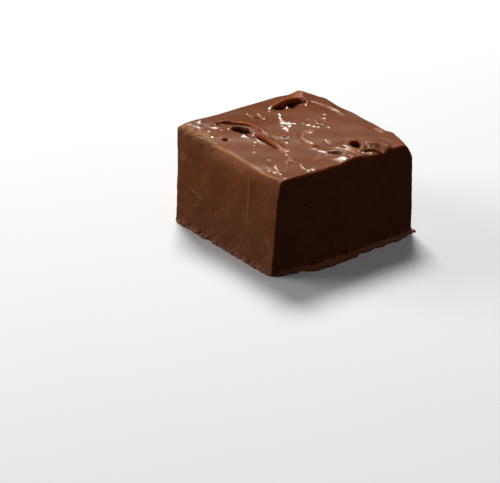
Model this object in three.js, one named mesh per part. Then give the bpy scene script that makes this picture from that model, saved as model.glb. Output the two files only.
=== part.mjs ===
// One square of chocolate fudge, cut from a slab: a poured, glossy top with the folds and
// tears of the last stir, four knife-cut sides, a worn far corner and a smeared, ragged foot.
// Millimetres, +Z up. The origin is on the surface that the square rests on, under the middle
// of its bounding box. -Y is the front side, +X the side that the knife left last.

import * as THREE from "three";

// Driving dimensions of the square.
const width = 41.2; // X, side to side at half height
const depth = 40.3; // Y, front to back at half height
const height = 25; // from the underside to the flat of the top
const edgeRadius = 0.6; // how far the knife-cut edges are rounded
const footHeight = 0.75; // how thick the smear round the underside is
const stirDepth = 1; // scales every fold, tear and lump of the top
const stirFade = 3.5; // how far down the sides the folds at the rim are felt
const waveHeight = 0.13; // of the slow swell over the poured top
const cutWander = 0.22; // how far the knife strays from a flat side

// How finely the surface is divided.
const topSteps = 47; // across the top, between its two rim bands
const rimStations = [0, 0.35, 0.8, 1.4, 2.2]; // from an edge inwards
const sideStations = [0, 0.4, 1, 1.8, 3, 4.4, 8, 13, 18, 22.5]; // down from the top
const footStations = [24.2, 24.55, 25]; // and on down to the underside
const snapReach = 0.4; // half the grid's spacing: points this near to a lip are moved on to it
const snapBorder = 0.8; // but none this near to the rim

// The bounding box is moved by this much, so that the origin is under its middle.
const settingOut = new THREE.Vector2(0, -0.4);

const { lerp, smoothstep, clamp } = THREE.MathUtils;
const bell = (distance, reach) => Math.exp(-((distance / reach) ** 2));

// A smooth curve through [station, value] pairs, level at each station.
function profile(stations) {
  return (at) => {
    const next = stations.findIndex(([station]) => station > at);
    if (next === 0) return stations[0][1];
    if (next < 0) return stations[stations.length - 1][1];
    const [from, low] = stations[next - 1];
    const [to, high] = stations[next];
    return lerp(low, high, smoothstep(at, from, to));
  };
}

// ---- The cut sides ---------------------------------------------------------------------

// Each side's distance from the middle of the square, for how far along it is and how high.
const frontCornerSetBack = 2.3; // the front right corner is undercut this far at the foot
const frontCornerSpan = 8; // and how far along the side the undercut fades
const leftLean = 1.7; // the left front corner spreads this far from top to foot
const shoulderHeight = 5; // the front side starts to lean back this far below the top
const wornHeight = 4.2; // the worn far right corner reaches this far down

// How far the smear reaches out of each side, along that side.
const smearRight = profile([
  [-20.5, 0.1], [-17.3, 1.05], [-14.2, 1.5], [-13.2, 0.7], [-12.6, 0.8], [-11, 2.2], [-6, 2.4],
  [-1.5, 2], [1, 1.8], [3, 1], [5, 1.5], [7, 1.1], [9, 1.7], [11.5, 1], [13.8, 1.4], [16.7, 0.8],
  [19, 0.4], [20.5, 0.7],
]);
const smearFront = profile([
  [-20, 0.2], [-17, 0.6], [-12, 0.3], [-7, 0.7], [-5.2, 0], [-3.5, 0.4], [2, 0.6], [8, 0.35],
  [13, 0.7], [17, 0.4], [20, 0.2],
]);
const smearLeft = profile([
  [-20, 0.2], [-15, 0.8], [-9, 0.4], [-3, 1], [3, 0.5], [8, 0.9], [14, 0.3], [20, 0.5],
]);
const smearBack = profile([
  [-20, 0.4], [-14, 0.9], [-8, 0.5], [-1, 1.1], [6, 0.5], [12, 0.9], [18, 0.6], [20, 1],
]);

// How far the front side leans back at the top, and how far the far right corner is worn back.
const shoulder = profile([
  [-20.6, 0.1], [-18, 0.2], [-13, 0.4], [-9.3, 1.1], [-5.9, 1.65], [0.5, 1.7], [6.7, 1.5],
  [12.7, 1.15], [18.8, 0.75], [20.6, 0.3],
]);
const wornBack = profile([[13.5, 0], [15.7, 0.55], [18, 1.3], [20.6, 2.2]]);

// The smear is full at the underside and gone at footHeight.
const footShare = (high) => 1 - smoothstep(high, footHeight * 0.45, footHeight);

// The slow wander of a knife-cut side.
function wander(along, high, turn) {
  const sweep = Math.sin(along * 0.17 + turn) * Math.cos(high * 0.11 + turn);
  const ripple = Math.sin(along * 0.53 - high * 0.31 + turn * 2);
  return cutWander * (0.7 * sweep + 0.3 * ripple);
}

function rightSide(y, z) {
  const low = 1 - z / height;
  const undercut = frontCornerSetBack * low ** 1.2 * bell(y + 20, frontCornerSpan);
  const side = width / 2 - 0.1 - 0.5 * low - undercut;
  return side + wander(y, z, 0.4) + footShare(z) * smearRight(y);
}

function leftSide(y, z) {
  const low = 1 - z / height;
  const spread = leftLean * low ** 0.8 * bell(y + 20, 18);
  const side = -width / 2 + 1.3 * bell(y + 20, 18) - spread - 0.2 * low;
  return side + wander(y, z, 2.1) - footShare(z) * smearLeft(y);
}

function frontSide(x, z) {
  const low = 1 - z / height;
  const lean = clamp((z - height + shoulderHeight) / shoulderHeight, 0, 1);
  const side = -depth / 2 - 0.15 * low + shoulder(x) * lean ** 2;
  return side + wander(x, z, 3.3) - footShare(z) * smearFront(x);
}

function backSide(x, z) {
  const low = 1 - z / height;
  const spread = 0.8 * low * smoothstep(x, -5, 20);
  const worn = clamp((z - height + wornHeight) / wornHeight, 0, 1);
  const side = depth / 2 + 0.05 + spread - wornBack(x) * worn ** 1.8;
  return side + wander(x, z, 5.2) + footShare(z) * smearBack(x);
}

// How far each stretch of edge is rounded: the front rim varies along its length.
const frontRim = profile([[-20.5, 0.6], [-17, 0.7], [-10, 0.7], [-5, 0.55], [20.5, 0.5]]);

function roundingAt(x, y, z) {
  const nearTop = smoothstep(z, height - 7, height - 2);
  return edgeRadius + (frontRim(x) - edgeRadius) * bell(y + depth / 2, 3.2) * nearTop;
}

// ---- The poured top --------------------------------------------------------------------

// A fold is a lip along a path of [x, y, strength] points, with a hollow on its right-hand
// side. ridge and hollow are the height and depth in millimetres, ridgeWidth and hollowWidth
// how wide they are, and lip is how far the crest leans over the hollow.
const folds = [
  {
    name: "far slit of the long tear",
    ridge: 0.35, ridgeWidth: 0.7, hollow: 0.8, hollowWidth: 0.75, lip: 0.35,
    path: [
      [-16.9, -10.7, 0], [-16.3, -9.3, 0.7], [-15.2, -7.9, 1], [-13.7, -7.1, 1],
      [-12.4, -6.3, 0.8], [-10.9, -5.7, 0.4], [-9.4, -5, 0],
    ],
  },
  {
    name: "lip of the long tear",
    ridge: 0.4, ridgeWidth: 0.7, hollow: 1.6, hollowWidth: 0.75, lip: 0.45,
    path: [
      [-12.9, -9.4, 0], [-12.2, -8.4, 0.8], [-11.1, -7.4, 1], [-9.6, -6.7, 1], [-8.2, -6.4, 0.8],
      [-7, -6.5, 0.45], [-5.8, -6.8, 0],
    ],
  },
  {
    name: "torn sheet of the long tear",
    ridge: 0.7, ridgeWidth: 0.7, hollow: 0.9, hollowWidth: 0.75, lip: 0.7,
    path: [
      [-5.8, -6.9, 0], [-4.2, -6.7, 0.7], [-2.5, -6.4, 1], [-0.6, -6.4, 1], [1.8, -6.6, 0.9],
      [3.5, -7.1, 0.7], [5, -7.6, 0.45], [6.4, -7.6, 0.3], [7.2, -6.6, 0],
    ],
  },
  {
    name: "deep pit near the back left corner",
    ridge: 1, ridgeWidth: 0.7, hollow: 1.9, hollowWidth: 0.85, lip: 0.7,
    path: [
      [-14.6, 4.2, 0], [-15.7, 5.9, 0.7], [-16.2, 8, 1], [-16.5, 10.4, 1], [-16.5, 12.4, 1],
      [-15.8, 14, 0.8], [-14.4, 14.8, 0.4], [-13.2, 14.8, 0],
    ],
  },
  {
    name: "bright crease",
    ridge: 0.6, ridgeWidth: 0.9, hollow: 0.3, hollowWidth: 0.75, lip: 0.1,
    path: [
      [-12.2, 5, 0], [-10, 3.7, 0.5], [-7.8, 2.5, 0.9], [-6, 1.5, 1], [-4.2, 0.5, 1],
      [-2.4, -0.2, 0.6], [-0.4, -0.3, 0],
    ],
  },
  {
    name: "small lip at the left",
    ridge: 0.3, ridgeWidth: 0.7, hollow: 0.35, hollowWidth: 0.75, lip: 0.35,
    path: [[-16.4, -1.2, 0], [-15.4, -1, 0.8], [-13.6, -0.7, 1], [-12.4, -0.3, 0.8], [-11, 0.2, 0]],
  },
  {
    name: "tongue of the right tear",
    ridge: 0.3, ridgeWidth: 0.8, hollow: 0.15, hollowWidth: 0.75, lip: 0.1,
    path: [[8.8, -1.4, 0], [9.9, -1, 1], [11.3, -0.4, 1], [12.6, 0.3, 0.8], [13.6, 1, 0]],
  },
  {
    name: "rolled front of the right tear",
    ridge: 0.5, ridgeWidth: 0.85, hollow: 1.1, hollowWidth: 0.75, lip: 0.15,
    path: [
      [12.2, -1, 0], [12.9, -0.2, 0.7], [14, 1, 1], [15.6, 1.8, 1], [17.2, 2.1, 0.9],
      [18.6, 2.1, 0.7], [20, 2.2, 0.2],
    ],
  },
  {
    name: "shining slope of the right tear",
    ridge: 0.4, ridgeWidth: 1.5, hollow: 0.1, hollowWidth: 1.2, lip: 0,
    path: [
      [10.6, 2.1, 0], [12.4, 2.9, 0.6], [14.4, 3.9, 1], [16, 4.2, 1], [17.4, 4, 0.8],
      [18.8, 4, 0],
    ],
  },
  {
    name: "rim of the round hole",
    ridge: 0.45, ridgeWidth: 0.7, hollow: 1.9, hollowWidth: 0.8, lip: 0.3,
    path: [
      [14.4, 5.2, 0], [13.1, 6.1, 0.8], [12.4, 7.2, 1], [12.6, 8.6, 1], [13.7, 9.2, 1],
      [15.2, 8.8, 0.8], [16.2, 7.9, 0.5], [16.7, 7, 0],
    ],
  },
  {
    name: "roll over the right edge",
    ridge: 0.4, ridgeWidth: 0.8, hollow: 0.3, hollowWidth: 0.8, lip: 0.2,
    path: [[20.2, 5.6, 0], [18.8, 6.2, 0.8], [17.6, 7.2, 1], [16.4, 8.6, 0.6], [15.6, 9.8, 0]],
  },
  {
    name: "upper lip of the right tear",
    ridge: 0.8, ridgeWidth: 1, hollow: 0.5, hollowWidth: 0.75, lip: 0.2,
    path: [
      [14.9, 8.9, 0], [15.6, 9.9, 0.6], [16.4, 11, 1], [17.7, 12.1, 1], [19, 12.5, 0.9],
      [20, 12.9, 0.5], [21, 13.6, 0.1],
    ],
  },
  {
    name: "swell along the back",
    ridge: 0.08, ridgeWidth: 0.7, hollow: 0.32, hollowWidth: 0.75, lip: 0,
    path: [
      [-14.4, 15.6, 0], [-12.7, 16.3, 0.8], [-11, 17, 1], [-8.6, 17.4, 1], [-6.4, 17.2, 0.7],
      [-3.7, 16.8, 0.5], [-0.9, 16.8, 0],
    ],
  },
];

// A lump, or with a negative rise a dent: its place, its two half widths and its rise.
const lumps = [
  { x: -19.2, y: 15.9, long: 1.5, wide: 1.5, rise: 1.3 }, // back left corner
  { x: -17.8, y: 17.5, long: 1.5, wide: 1.2, rise: 1.15 },
  { x: -13.4, y: 10.6, long: 1.2, wide: 2.2, rise: -0.5 }, // bottom of the deep pit
  { x: -13.4, y: 8.1, long: 0.7, wide: 0.6, rise: 1.1 }, // bead in the pit
  { x: -8.6, y: -8.4, long: 2.2, wide: 1, rise: -0.4 }, // bottom of the long tear
  { x: -6.1, y: -7.4, long: 1.3, wide: 0.8, rise: 0.4 }, // smooth bulge at its right end
  { x: -2.6, y: -8, long: 2, wide: 0.6, rise: -0.3 },
  { x: -15.5, y: -11.8, long: 1.3, wide: 1.2, rise: 0.4 }, // beads by the long tear
  { x: -11.9, y: -10, long: 0.6, wide: 0.6, rise: 0.35 },
  { x: -6, y: -10.3, long: 0.8, wide: 0.6, rise: 0.25 },
  { x: -10.4, y: 3.9, long: 0.8, wide: 0.8, rise: 0.25 }, // steps of the bright crease
  { x: -8.7, y: 3, long: 0.9, wide: 0.8, rise: 0.3 },
  { x: -7.1, y: 2.2, long: 0.9, wide: 0.8, rise: 0.32 },
  { x: -5.5, y: 1.4, long: 0.9, wide: 0.8, rise: 0.32 },
  { x: -2.6, y: -0.2, long: 0.8, wide: 0.7, rise: 0.25 },
  { x: -4.2, y: 3.2, long: 1.6, wide: 1.2, rise: 0.5 }, // swelling behind it
  { x: -4.2, y: 1.3, long: 0.6, wide: 0.5, rise: -0.5 }, // dark spot in it
  { x: 13.7, y: 4.8, long: 2.2, wide: 2, rise: 0.6 }, // white slope before the round hole
  { x: 14.4, y: 7.2, long: 1.1, wide: 1.1, rise: -0.5 }, // bottom of the round hole
  { x: 14, y: 7.6, long: 0.45, wide: 0.45, rise: 0.7 }, // bead in it
  { x: 17, y: 4.9, long: 1.2, wide: 1.1, rise: 0.1 }, // thin wall in front of it
  { x: 17.4, y: 9.8, long: 0.7, wide: 0.8, rise: -0.5 }, // hollow under the upper lip
  { x: 18.8, y: 8.6, long: 1.4, wide: 1.1, rise: 0.75 }, // smooth roll beside it
  { x: 20.6, y: 10.4, long: 0.8, wide: 0.9, rise: 0.1 }, // its thin right end
  { x: 16.9, y: 0.9, long: 2.5, wide: 2.3, rise: 0.65 }, // shoulder before the right edge
  { x: 9, y: -0.9, long: 0.7, wide: 0.6, rise: 0.85 }, // torn tip of the right tear
  { x: 19.4, y: 17, long: 1.5, wide: 1.6, rise: -0.25 }, // thin place by the worn corner
  { x: 10.6, y: 18.2, long: 1.4, wide: 0.7, rise: 0.65 }, // crumb pressed into the top
  { x: -7.3, y: -15, long: 0.8, wide: 0.6, rise: -0.4 }, // small pit by the front rim
  { x: -3.5, y: -15.3, long: 0.6, wide: 0.5, rise: 0.2 },
  { x: -6.4, y: 14, long: 1.1, wide: 0.8, rise: 0.2 }, // beads in a loose row
  { x: -2.4, y: 10.4, long: 1.1, wide: 1.1, rise: 0.2 },
  { x: -2.2, y: 6.4, long: 1.5, wide: 1.1, rise: 0.35 },
  { x: -4.4, y: 7.6, long: 1, wide: 1.6, rise: 0.15 },
];

// Each fold's path as a chain of short straight stretches.
const stretches = 20;
for (const fold of folds) {
  const curve = new THREE.CatmullRomCurve3(fold.path.map((point) => new THREE.Vector3(...point)));
  fold.chain = curve.getPoints(stretches);
}

// The nearest place on a fold: how far off it is, left of the path being positive, the
// strength there, and the direction from the lip into the hollow.
function nearestOn(fold, x, y) {
  let best = { gap: Infinity };
  for (let i = 0; i < stretches; i += 1) {
    const from = fold.chain[i];
    const to = fold.chain[i + 1];
    const alongX = to.x - from.x;
    const alongY = to.y - from.y;
    const long = Math.hypot(alongX, alongY);
    const share = clamp(((x - from.x) * alongX + (y - from.y) * alongY) / long ** 2, 0, 1);
    const awayX = x - from.x - share * alongX;
    const awayY = y - from.y - share * alongY;
    const gap = Math.hypot(awayX, awayY);
    if (gap < best.gap) {
      const side = Math.sign(alongX * awayY - alongY * awayX) || 1;
      const strength = Math.max(0, lerp(from.z, to.z, share));
      best = { gap, offset: side * gap, strength, inX: alongY / long, inY: -alongX / long };
    }
  }
  return best;
}

// The hollow's section: level with the top at the lip, deepest at 1, then easing out.
const hollowShape = (away) => (away > 0 ? away * Math.exp(1 - away) : 0);

// Moves a point of the top on to a lip that it nearly touches, so that the crests run smoothly.
function snapped(x, y) {
  for (const fold of folds) {
    const { offset, strength, inX, inY } = nearestOn(fold, x, y);
    const reach = snapReach * Math.max(Math.abs(inX), Math.abs(inY));
    if (strength > 0.2 && Math.abs(offset) < reach) return [x + offset * inX, y + offset * inY];
  }
  return [x, y];
}

// What the folds and lumps do to a point of the top: how far it rises and how far it moves.
function stir(x, y) {
  const moved = new THREE.Vector3();
  for (const fold of folds) {
    const { offset, strength, inX, inY } = nearestOn(fold, x, y);
    const size = strength * stirDepth;
    moved.z += size * fold.ridge * bell(offset - 0.4 * fold.ridgeWidth, fold.ridgeWidth);
    moved.z -= size * fold.hollow * hollowShape(-offset / fold.hollowWidth);
    const lean = size * fold.lip * bell(offset, fold.ridgeWidth);
    moved.x += lean * inX;
    moved.y += lean * inY;
  }
  for (const lump of lumps) {
    const away = Math.hypot((x - lump.x) / lump.long, (y - lump.y) / lump.wide);
    moved.z += stirDepth * lump.rise * bell(away, 1);
  }
  return moved;
}

// The slow swell of the poured top, and how it falls off to the back and right edges: how far
// down each edge lies, and how far in from it the fall starts.
const backFall = profile([
  [-20, 1.2], [-16, 0.7], [-12.5, 0.3], [-4, 0.55], [5, 0.6], [10, 0.95], [13.5, 0.35],
  [17, 0.6], [20, 1],
]);
const rightFall = profile([
  [-20.5, 0], [-18.8, -0.6], [-17.6, -0.75], [-11.6, -0.7], [-8, -0.45], [-5.6, -0.4],
  [-4, -0.25], [-2, 0], [-0.7, -0.1], [1.6, -0.45], [3.4, -0.6], [4.6, -0.4], [5.6, 0.15],
  [7.7, 0.45], [10.1, 0.3], [11.3, 0.9], [12.3, -0.1], [13.8, 0.3], [17.3, -0.2], [20.5, 0.4],
]);
const backReach = profile([[-20, 10], [-2, 9], [6, 5], [20, 5]]);
const rightReach = profile([[-20, 9], [-4, 7], [2, 3.5], [20, 3.5]]);

// The crumbly band along the left half of the front rim: how wide it is and how far it sinks.
const rimBand = profile([
  [-20.6, 0.5], [-19.6, 2.3], [-18, 2.9], [-16.3, 3.3], [-12.4, 3.2], [-9.3, 1.4], [-5.9, 0.5],
  [0.5, 0.3], [20.6, 0.25],
]);
const rimFall = profile([[-20.6, 0.05], [-18, 0.3], [-13, 0.45], [-9, 0.2], [0, 0]]);

function topHeight(x, y) {
  const swell = Math.sin(x * 0.31 + 0.8) * Math.cos(y * 0.27 - 0.4) + 0.5 * Math.sin(x * 0.6 - y * 0.5);
  const back = backFall(x) * smoothstep(y, depth / 2 - backReach(x), depth / 2);
  const right = rightFall(y) * smoothstep(x, width / 2 - rightReach(y), width / 2);
  const acrossRim = clamp((frontSide(x, height) + rimBand(x) - y) / rimBand(x), 0, 1);
  return height + waveHeight * swell - back - right - rimFall(x) * acrossRim;
}

// ---- The surface -----------------------------------------------------------------------

// Moves a place on the plain block (across and along from 0 to 1, down in millimetres from
// the top) to where it lies on the fudge.
function surfacePoint(across, along, down) {
  const x0 = (across - 0.5) * width;
  const y0 = (along - 0.5) * depth;
  const z0 = height - down;

  // Rounding: near an edge a point is pulled on to a quarter circle between the two faces.
  const radius = roundingAt(x0, y0, z0);
  const inX = Math.max(0, radius - Math.min(across, 1 - across) * width);
  const inY = Math.max(0, radius - Math.min(along, 1 - along) * depth);
  const inZ = Math.max(0, radius - down);
  const reach = Math.hypot(inX, inY, inZ);
  const pull = reach > 0 ? radius / reach : 1;
  const u = inX > 0 ? Math.abs((across > 0.5 ? 1 : 0) - (radius - inX * pull) / width) : across;
  const v = inY > 0 ? Math.abs((along > 0.5 ? 1 : 0) - (radius - inY * pull) / depth) : along;
  const z = inZ > 0 ? height - (radius - inZ * pull) : z0;

  const plainX = lerp(leftSide(y0, z), rightSide(y0, z), u);
  const plainY = lerp(frontSide(x0, z), backSide(x0, z), v);
  const inside = Math.min(across, 1 - across, along, 1 - along) > snapBorder / width;
  const [flatX, flatY] = inside ? snapped(plainX, plainY) : [plainX, plainY];
  const onTop = smoothstep(z, height - stirFade, height - edgeRadius);
  const stirred = stir(flatX, flatY).multiplyScalar(onTop);
  const high = (z / height) * topHeight(flatX, flatY);
  return new THREE.Vector3(flatX + stirred.x, flatY + stirred.y, high + stirred.z);
}

// Where the grid lines of one direction lie, from 0 to 1: close together near both edges.
function gridLines(size) {
  const band = rimStations[rimStations.length - 1];
  const middle = [];
  for (let i = 1; i < topSteps; i += 1) middle.push(lerp(band, size - band, i / topSteps));
  const far = [...rimStations].reverse().map((station) => size - station);
  return [...rimStations, ...middle, ...far].map((station) => station / size);
}

// The closed skin: a grid over the top, rings down the sides and a flat underside.
function fudgeGeometry() {
  const columns = gridLines(width);
  const rows = gridLines(depth);
  const last = columns.length - 1;
  const downs = [...sideStations, ...footStations];
  const positions = [];
  const triangles = [];
  const addPoint = (point) => positions.push(point.x, point.y, point.z) / 3 - 1;
  const addQuad = (a, b, c, d) => triangles.push(a, b, c, a, c, d);

  // The top.
  const top = rows.map((row) => columns.map((column) => addPoint(surfacePoint(column, row, 0))));
  for (let j = 0; j < last; j += 1) {
    for (let i = 0; i < last; i += 1) {
      addQuad(top[j][i], top[j][i + 1], top[j + 1][i + 1], top[j + 1][i]);
    }
  }

  // The grid places once round the block, anticlockwise from above.
  const around = [];
  for (let i = 0; i < last; i += 1) around.push([i, 0]);
  for (let j = 0; j < last; j += 1) around.push([last, j]);
  for (let i = last; i > 0; i -= 1) around.push([i, last]);
  for (let j = last; j > 0; j -= 1) around.push([0, j]);

  // The sides, ring by ring from the rim to the underside.
  let upper = around.map(([i, j]) => top[j][i]);
  for (const down of downs.slice(1)) {
    const lower = around.map(([i, j]) => addPoint(surfacePoint(columns[i], rows[j], down)));
    upper.forEach((corner, k) => {
      const next = (k + 1) % around.length;
      addQuad(lower[k], lower[next], upper[next], corner);
    });
    upper = lower;
  }

  // The underside, flat on the surface below.
  const outline = upper.map((index) => new THREE.Vector2(positions[3 * index], positions[3 * index + 1]));
  for (const [a, b, c] of THREE.ShapeUtils.triangulateShape(outline, [])) {
    triangles.push(upper[c], upper[b], upper[a]);
  }

  const geometry = new THREE.BufferGeometry();
  geometry.setAttribute("position", new THREE.Float32BufferAttribute(positions, 3));
  geometry.setIndex(triangles);
  geometry.computeVertexNormals();
  return geometry;
}

// ---- The part --------------------------------------------------------------------------

const chocolate = new THREE.MeshStandardMaterial({ color: 0x5c3420, roughness: 0.42, metalness: 0 });

const square = new THREE.Mesh(fudgeGeometry(), chocolate);
square.name = "fudge_square";
square.position.set(settingOut.x, settingOut.y, 0);

const fudge = new THREE.Group();
fudge.add(square);

export default fudge;
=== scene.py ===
"""Chocolate fudge: one square cut from a slab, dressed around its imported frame.

Lengths inside the shape functions are millimetres, in the frame of the CAD part: +Z up, the
origin under the middle of the piece, -Y the front cut side and +X the right cut side. The
meshes are written in metres. The sidebar panel "Fudge" lists the pieces and their sizes.
"""

import math

import bpy
import numpy as np
from mathutils import Matrix, Vector


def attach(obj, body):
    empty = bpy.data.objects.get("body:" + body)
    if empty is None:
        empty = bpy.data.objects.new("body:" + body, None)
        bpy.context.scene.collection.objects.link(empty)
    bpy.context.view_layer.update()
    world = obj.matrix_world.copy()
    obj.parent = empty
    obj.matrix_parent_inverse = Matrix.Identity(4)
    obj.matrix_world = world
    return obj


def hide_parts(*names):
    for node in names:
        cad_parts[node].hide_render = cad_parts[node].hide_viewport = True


bl_info = {
    "name": "Chocolate Fudge Square",
    "version": (1, 0, 0),
    "blender": (4, 5, 0),
    "location": "View3D > Sidebar > Fudge",
    "description": "A cut square of chocolate fudge with a folded, glossy top and matt sides",
    "category": "Add Mesh",
}

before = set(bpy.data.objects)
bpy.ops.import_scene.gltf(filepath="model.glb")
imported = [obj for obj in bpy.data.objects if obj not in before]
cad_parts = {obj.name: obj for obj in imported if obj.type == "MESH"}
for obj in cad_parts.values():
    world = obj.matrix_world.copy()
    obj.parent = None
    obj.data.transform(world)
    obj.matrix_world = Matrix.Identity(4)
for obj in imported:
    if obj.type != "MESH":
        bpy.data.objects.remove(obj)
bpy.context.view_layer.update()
NODE = "fudge_square"
MM = 0.001  # a millimetre, in metres


# ---- Curves and noise ------------------------------------------------------------------


def smoothstep(at, low, high):
    """From 0 at low to 1 at high, level at both ends: 3 t squared less 2 t cubed."""
    t = np.clip((at - low) / (high - low), 0.0, 1.0)
    return t * t * (3.0 - 2.0 * t)


def bell(distance, reach):
    """A smooth hump: 1 in the middle, falling as e to the minus distance over reach squared."""
    return np.exp(-((distance / reach) ** 2))


def blend(low, high, share):
    """Share of the way from low to high."""
    return low + (high - low) * share


def profile(*stations):
    """A smooth curve through (station, value) pairs, level at each station."""
    places, values = np.array(stations, float).T

    def curve(at):
        i = np.clip(np.searchsorted(places, at, side="right"), 1, len(places) - 1)
        share = smoothstep(at, places[i - 1], places[i])
        return blend(values[i - 1], values[i], share)

    return curve


# Large odd numbers that scramble a cell's x, y and z, the seed, and their sum.
SCRAMBLE = (374761393, 668265263, 2147483647, 974634777, 1274126177)
LOW_BITS = 0xFFFFFFFF  # keeps the lowest 32 bits

# Each noise and each set of chances has a seed of its own.
SEEDS = {
    "side grain": 11, "side crumbs": 23, "lip stray x": 41, "lip stray y": 43, "lip height": 47,
    "crumple": 51, "scuffs": 61, "bloom sideways": 71, "bloom from the front": 73, "rim": 81,
    "thin edge": 91, "scratches": 93, "crumb places": 5, "crumb shapes": 17,
}


def lattice(cells, seed):
    """A random number from -1 to 1 for each whole-number cell, mixed from its coordinates."""
    x, y, z = (cells[..., k].astype(np.int64) for k in range(3))
    by_x, by_y, by_z, by_seed, by_sum = SCRAMBLE
    mixed = (x * by_x + y * by_y + z * by_z + seed * by_seed) & LOW_BITS
    mixed = ((mixed ^ (mixed >> 13)) * by_sum) & LOW_BITS
    mixed = mixed ^ (mixed >> 16)
    return mixed / (LOW_BITS >> 1) - 1.0


def soft_noise(points, size, seed):
    """Value noise from -1 to 1: random numbers on a lattice of that size, smoothly joined."""
    scaled = points / size
    base = np.floor(scaled)
    part = scaled - base
    part = part * part * (3.0 - 2.0 * part)
    total = np.zeros(points.shape[:-1])
    for corner in np.ndindex(2, 2, 2):
        weight = np.prod(np.where(corner, part, 1.0 - part), axis=-1)
        total += weight * lattice(base + corner, seed)
    return total


def rough_noise(points, size, seed, layers=3):
    """Layers of soft noise, each half the size and half the height of the one before."""
    total = np.zeros(points.shape[:-1])
    for k in range(layers):
        total += soft_noise(points, size / 2**k, seed + k) / 2**k
    return total


# ---- The cut sides ---------------------------------------------------------------------

FRONT_Y = -20.0  # where the two front corners are
FRONT_CORNER_SET_BACK = 2.3  # the front right corner is undercut this far at the foot
FRONT_CORNER_SPAN = 8.0  # and how far along the side the undercut fades
LEFT_LEAN = 1.7  # the front left corner spreads this far from top to foot
LEFT_SET_IN = 1.3  # and is set in this far as a whole, apart from its top
LEFT_CORNER_SPAN = 18.0  # how far along the left side both of them fade
LEFT_TOP_SPAN = 6.0  # how far below the top the left side starts to be set in
RIGHT_OFFSET, BACK_OFFSET = -0.1, 0.05  # how far these sides stand out as a whole
RIGHT_TUCK = 0.5  # how far the right side goes in from top to foot
LEFT_SPREAD, FRONT_SPREAD, BACK_SPREAD = 0.2, 0.15, 0.8  # and how far the others go out
WANDER_TURN = {"right": 0.4, "left": 2.1, "front": 3.3, "back": 5.2}  # sets the sides apart
SETTING_OUT = np.array([0.0, -0.4, 0.0])  # puts the origin under the bounding box's middle
FOOT_START = 0.45  # share of the smear's thickness that is full width

# How far the smear at the foot stands out, along each side.
smear_right = profile(
    (-20.5, 0.1), (-17.3, 1.05), (-14.2, 1.5), (-13.2, 0.7), (-12.6, 0.8), (-11, 2.2),
    (-6, 2.4), (-1.5, 2), (1, 1.8), (3, 1), (5, 1.5), (7, 1.1), (9, 1.7), (11.5, 1),
    (13.8, 1.4), (16.7, 0.8), (19, 0.4), (20.5, 0.7),
)
smear_front = profile(
    (-20, 0.2), (-17, 0.6), (-12, 0.3), (-7, 0.7), (-5.2, 0), (-3.5, 0.4), (2, 0.6),
    (8, 0.35), (13, 0.7), (17, 0.4), (20, 0.2),
)
smear_left = profile(
    (-20, 0.2), (-15, 0.8), (-9, 0.4), (-3, 1), (3, 0.5), (8, 0.9), (14, 0.3), (20, 0.5),
)
smear_back = profile(
    (-20, 0.4), (-14, 0.9), (-8, 0.5), (-1, 1.1), (6, 0.5), (12, 0.9), (18, 0.6), (20, 1),
)

# How far the front side leans back at the top, and how wide the crumbly rim is, along it.
SHOULDER_HEIGHT = 5.0  # the front side starts to lean back this far below the top
shoulder = profile(
    (-20.6, 0.1), (-18, 0.2), (-13, 0.4), (-9.3, 1.1), (-5.9, 1.65), (0.5, 1.7), (6.7, 1.5),
    (12.7, 1.15), (18.8, 0.75), (20.6, 0.3),
)
rim_band = profile(
    (-20.6, 0.5), (-19.6, 2.3), (-18, 2.9), (-16.3, 3.3), (-12.4, 3.2), (-9.3, 1.4),
    (-5.9, 0.5), (0.5, 0.3), (20.6, 0.25),
)

# The rounding of the front edge, along it.
front_rim = profile((-20.5, 0.6), (-17, 0.7), (-10, 0.7), (-5, 0.55), (20.5, 0.5))

# How far the back side is worn away at the top, towards the far right corner.
WORN_HEIGHT = 4.2  # the wear reaches this far down
worn_back = profile((13.5, 0.0), (15.7, 0.55), (18, 1.3), (20.6, 2.2))

# Pits and dimples of the cut sides: distance along the side, height, radius, depth.
FRONT_PITS = [
    (-14, 9.3, 0.45, 0.35), (-12.3, 8.2, 0.4, 0.3), (-11, 8.6, 0.4, 0.3), (-4, 9, 0.45, 0.3),
    (-4, 7, 0.35, 0.25), (1.5, 6.4, 0.35, 0.25), (-8.5, 5.2, 0.4, 0.25), (6.5, 4.4, 0.4, 0.25),
    (-17.2, 6.5, 0.4, 0.25), (12.8, 7.6, 0.35, 0.2), (-12.2, 20.5, 0.35, -0.15),
    (-2.8, 21.3, 0.35, -0.15),
]
RIGHT_PITS = [
    (-12.2, 16.7, 0.5, 0.7), (-7.8, 20.9, 0.35, 0.3), (8.3, 21.5, 0.45, 0.35),
    (9.8, 5.8, 0.35, 0.3), (-3.5, 11.2, 0.4, 0.25), (14.2, 10.4, 0.35, 0.25),
    (1.6, 4.6, 0.4, 0.25), (-15.4, 7.2, 0.35, 0.25),
]


def pitting(along, high, pits):
    """How deep the pits of a cut side are at a place: a steep bell for each."""
    total = np.zeros(np.broadcast(along, high).shape)
    for pit_along, pit_high, radius, depth in pits:
        total += depth * bell(np.hypot(along - pit_along, high - pit_high), radius) ** 1.5
    return total


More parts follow.
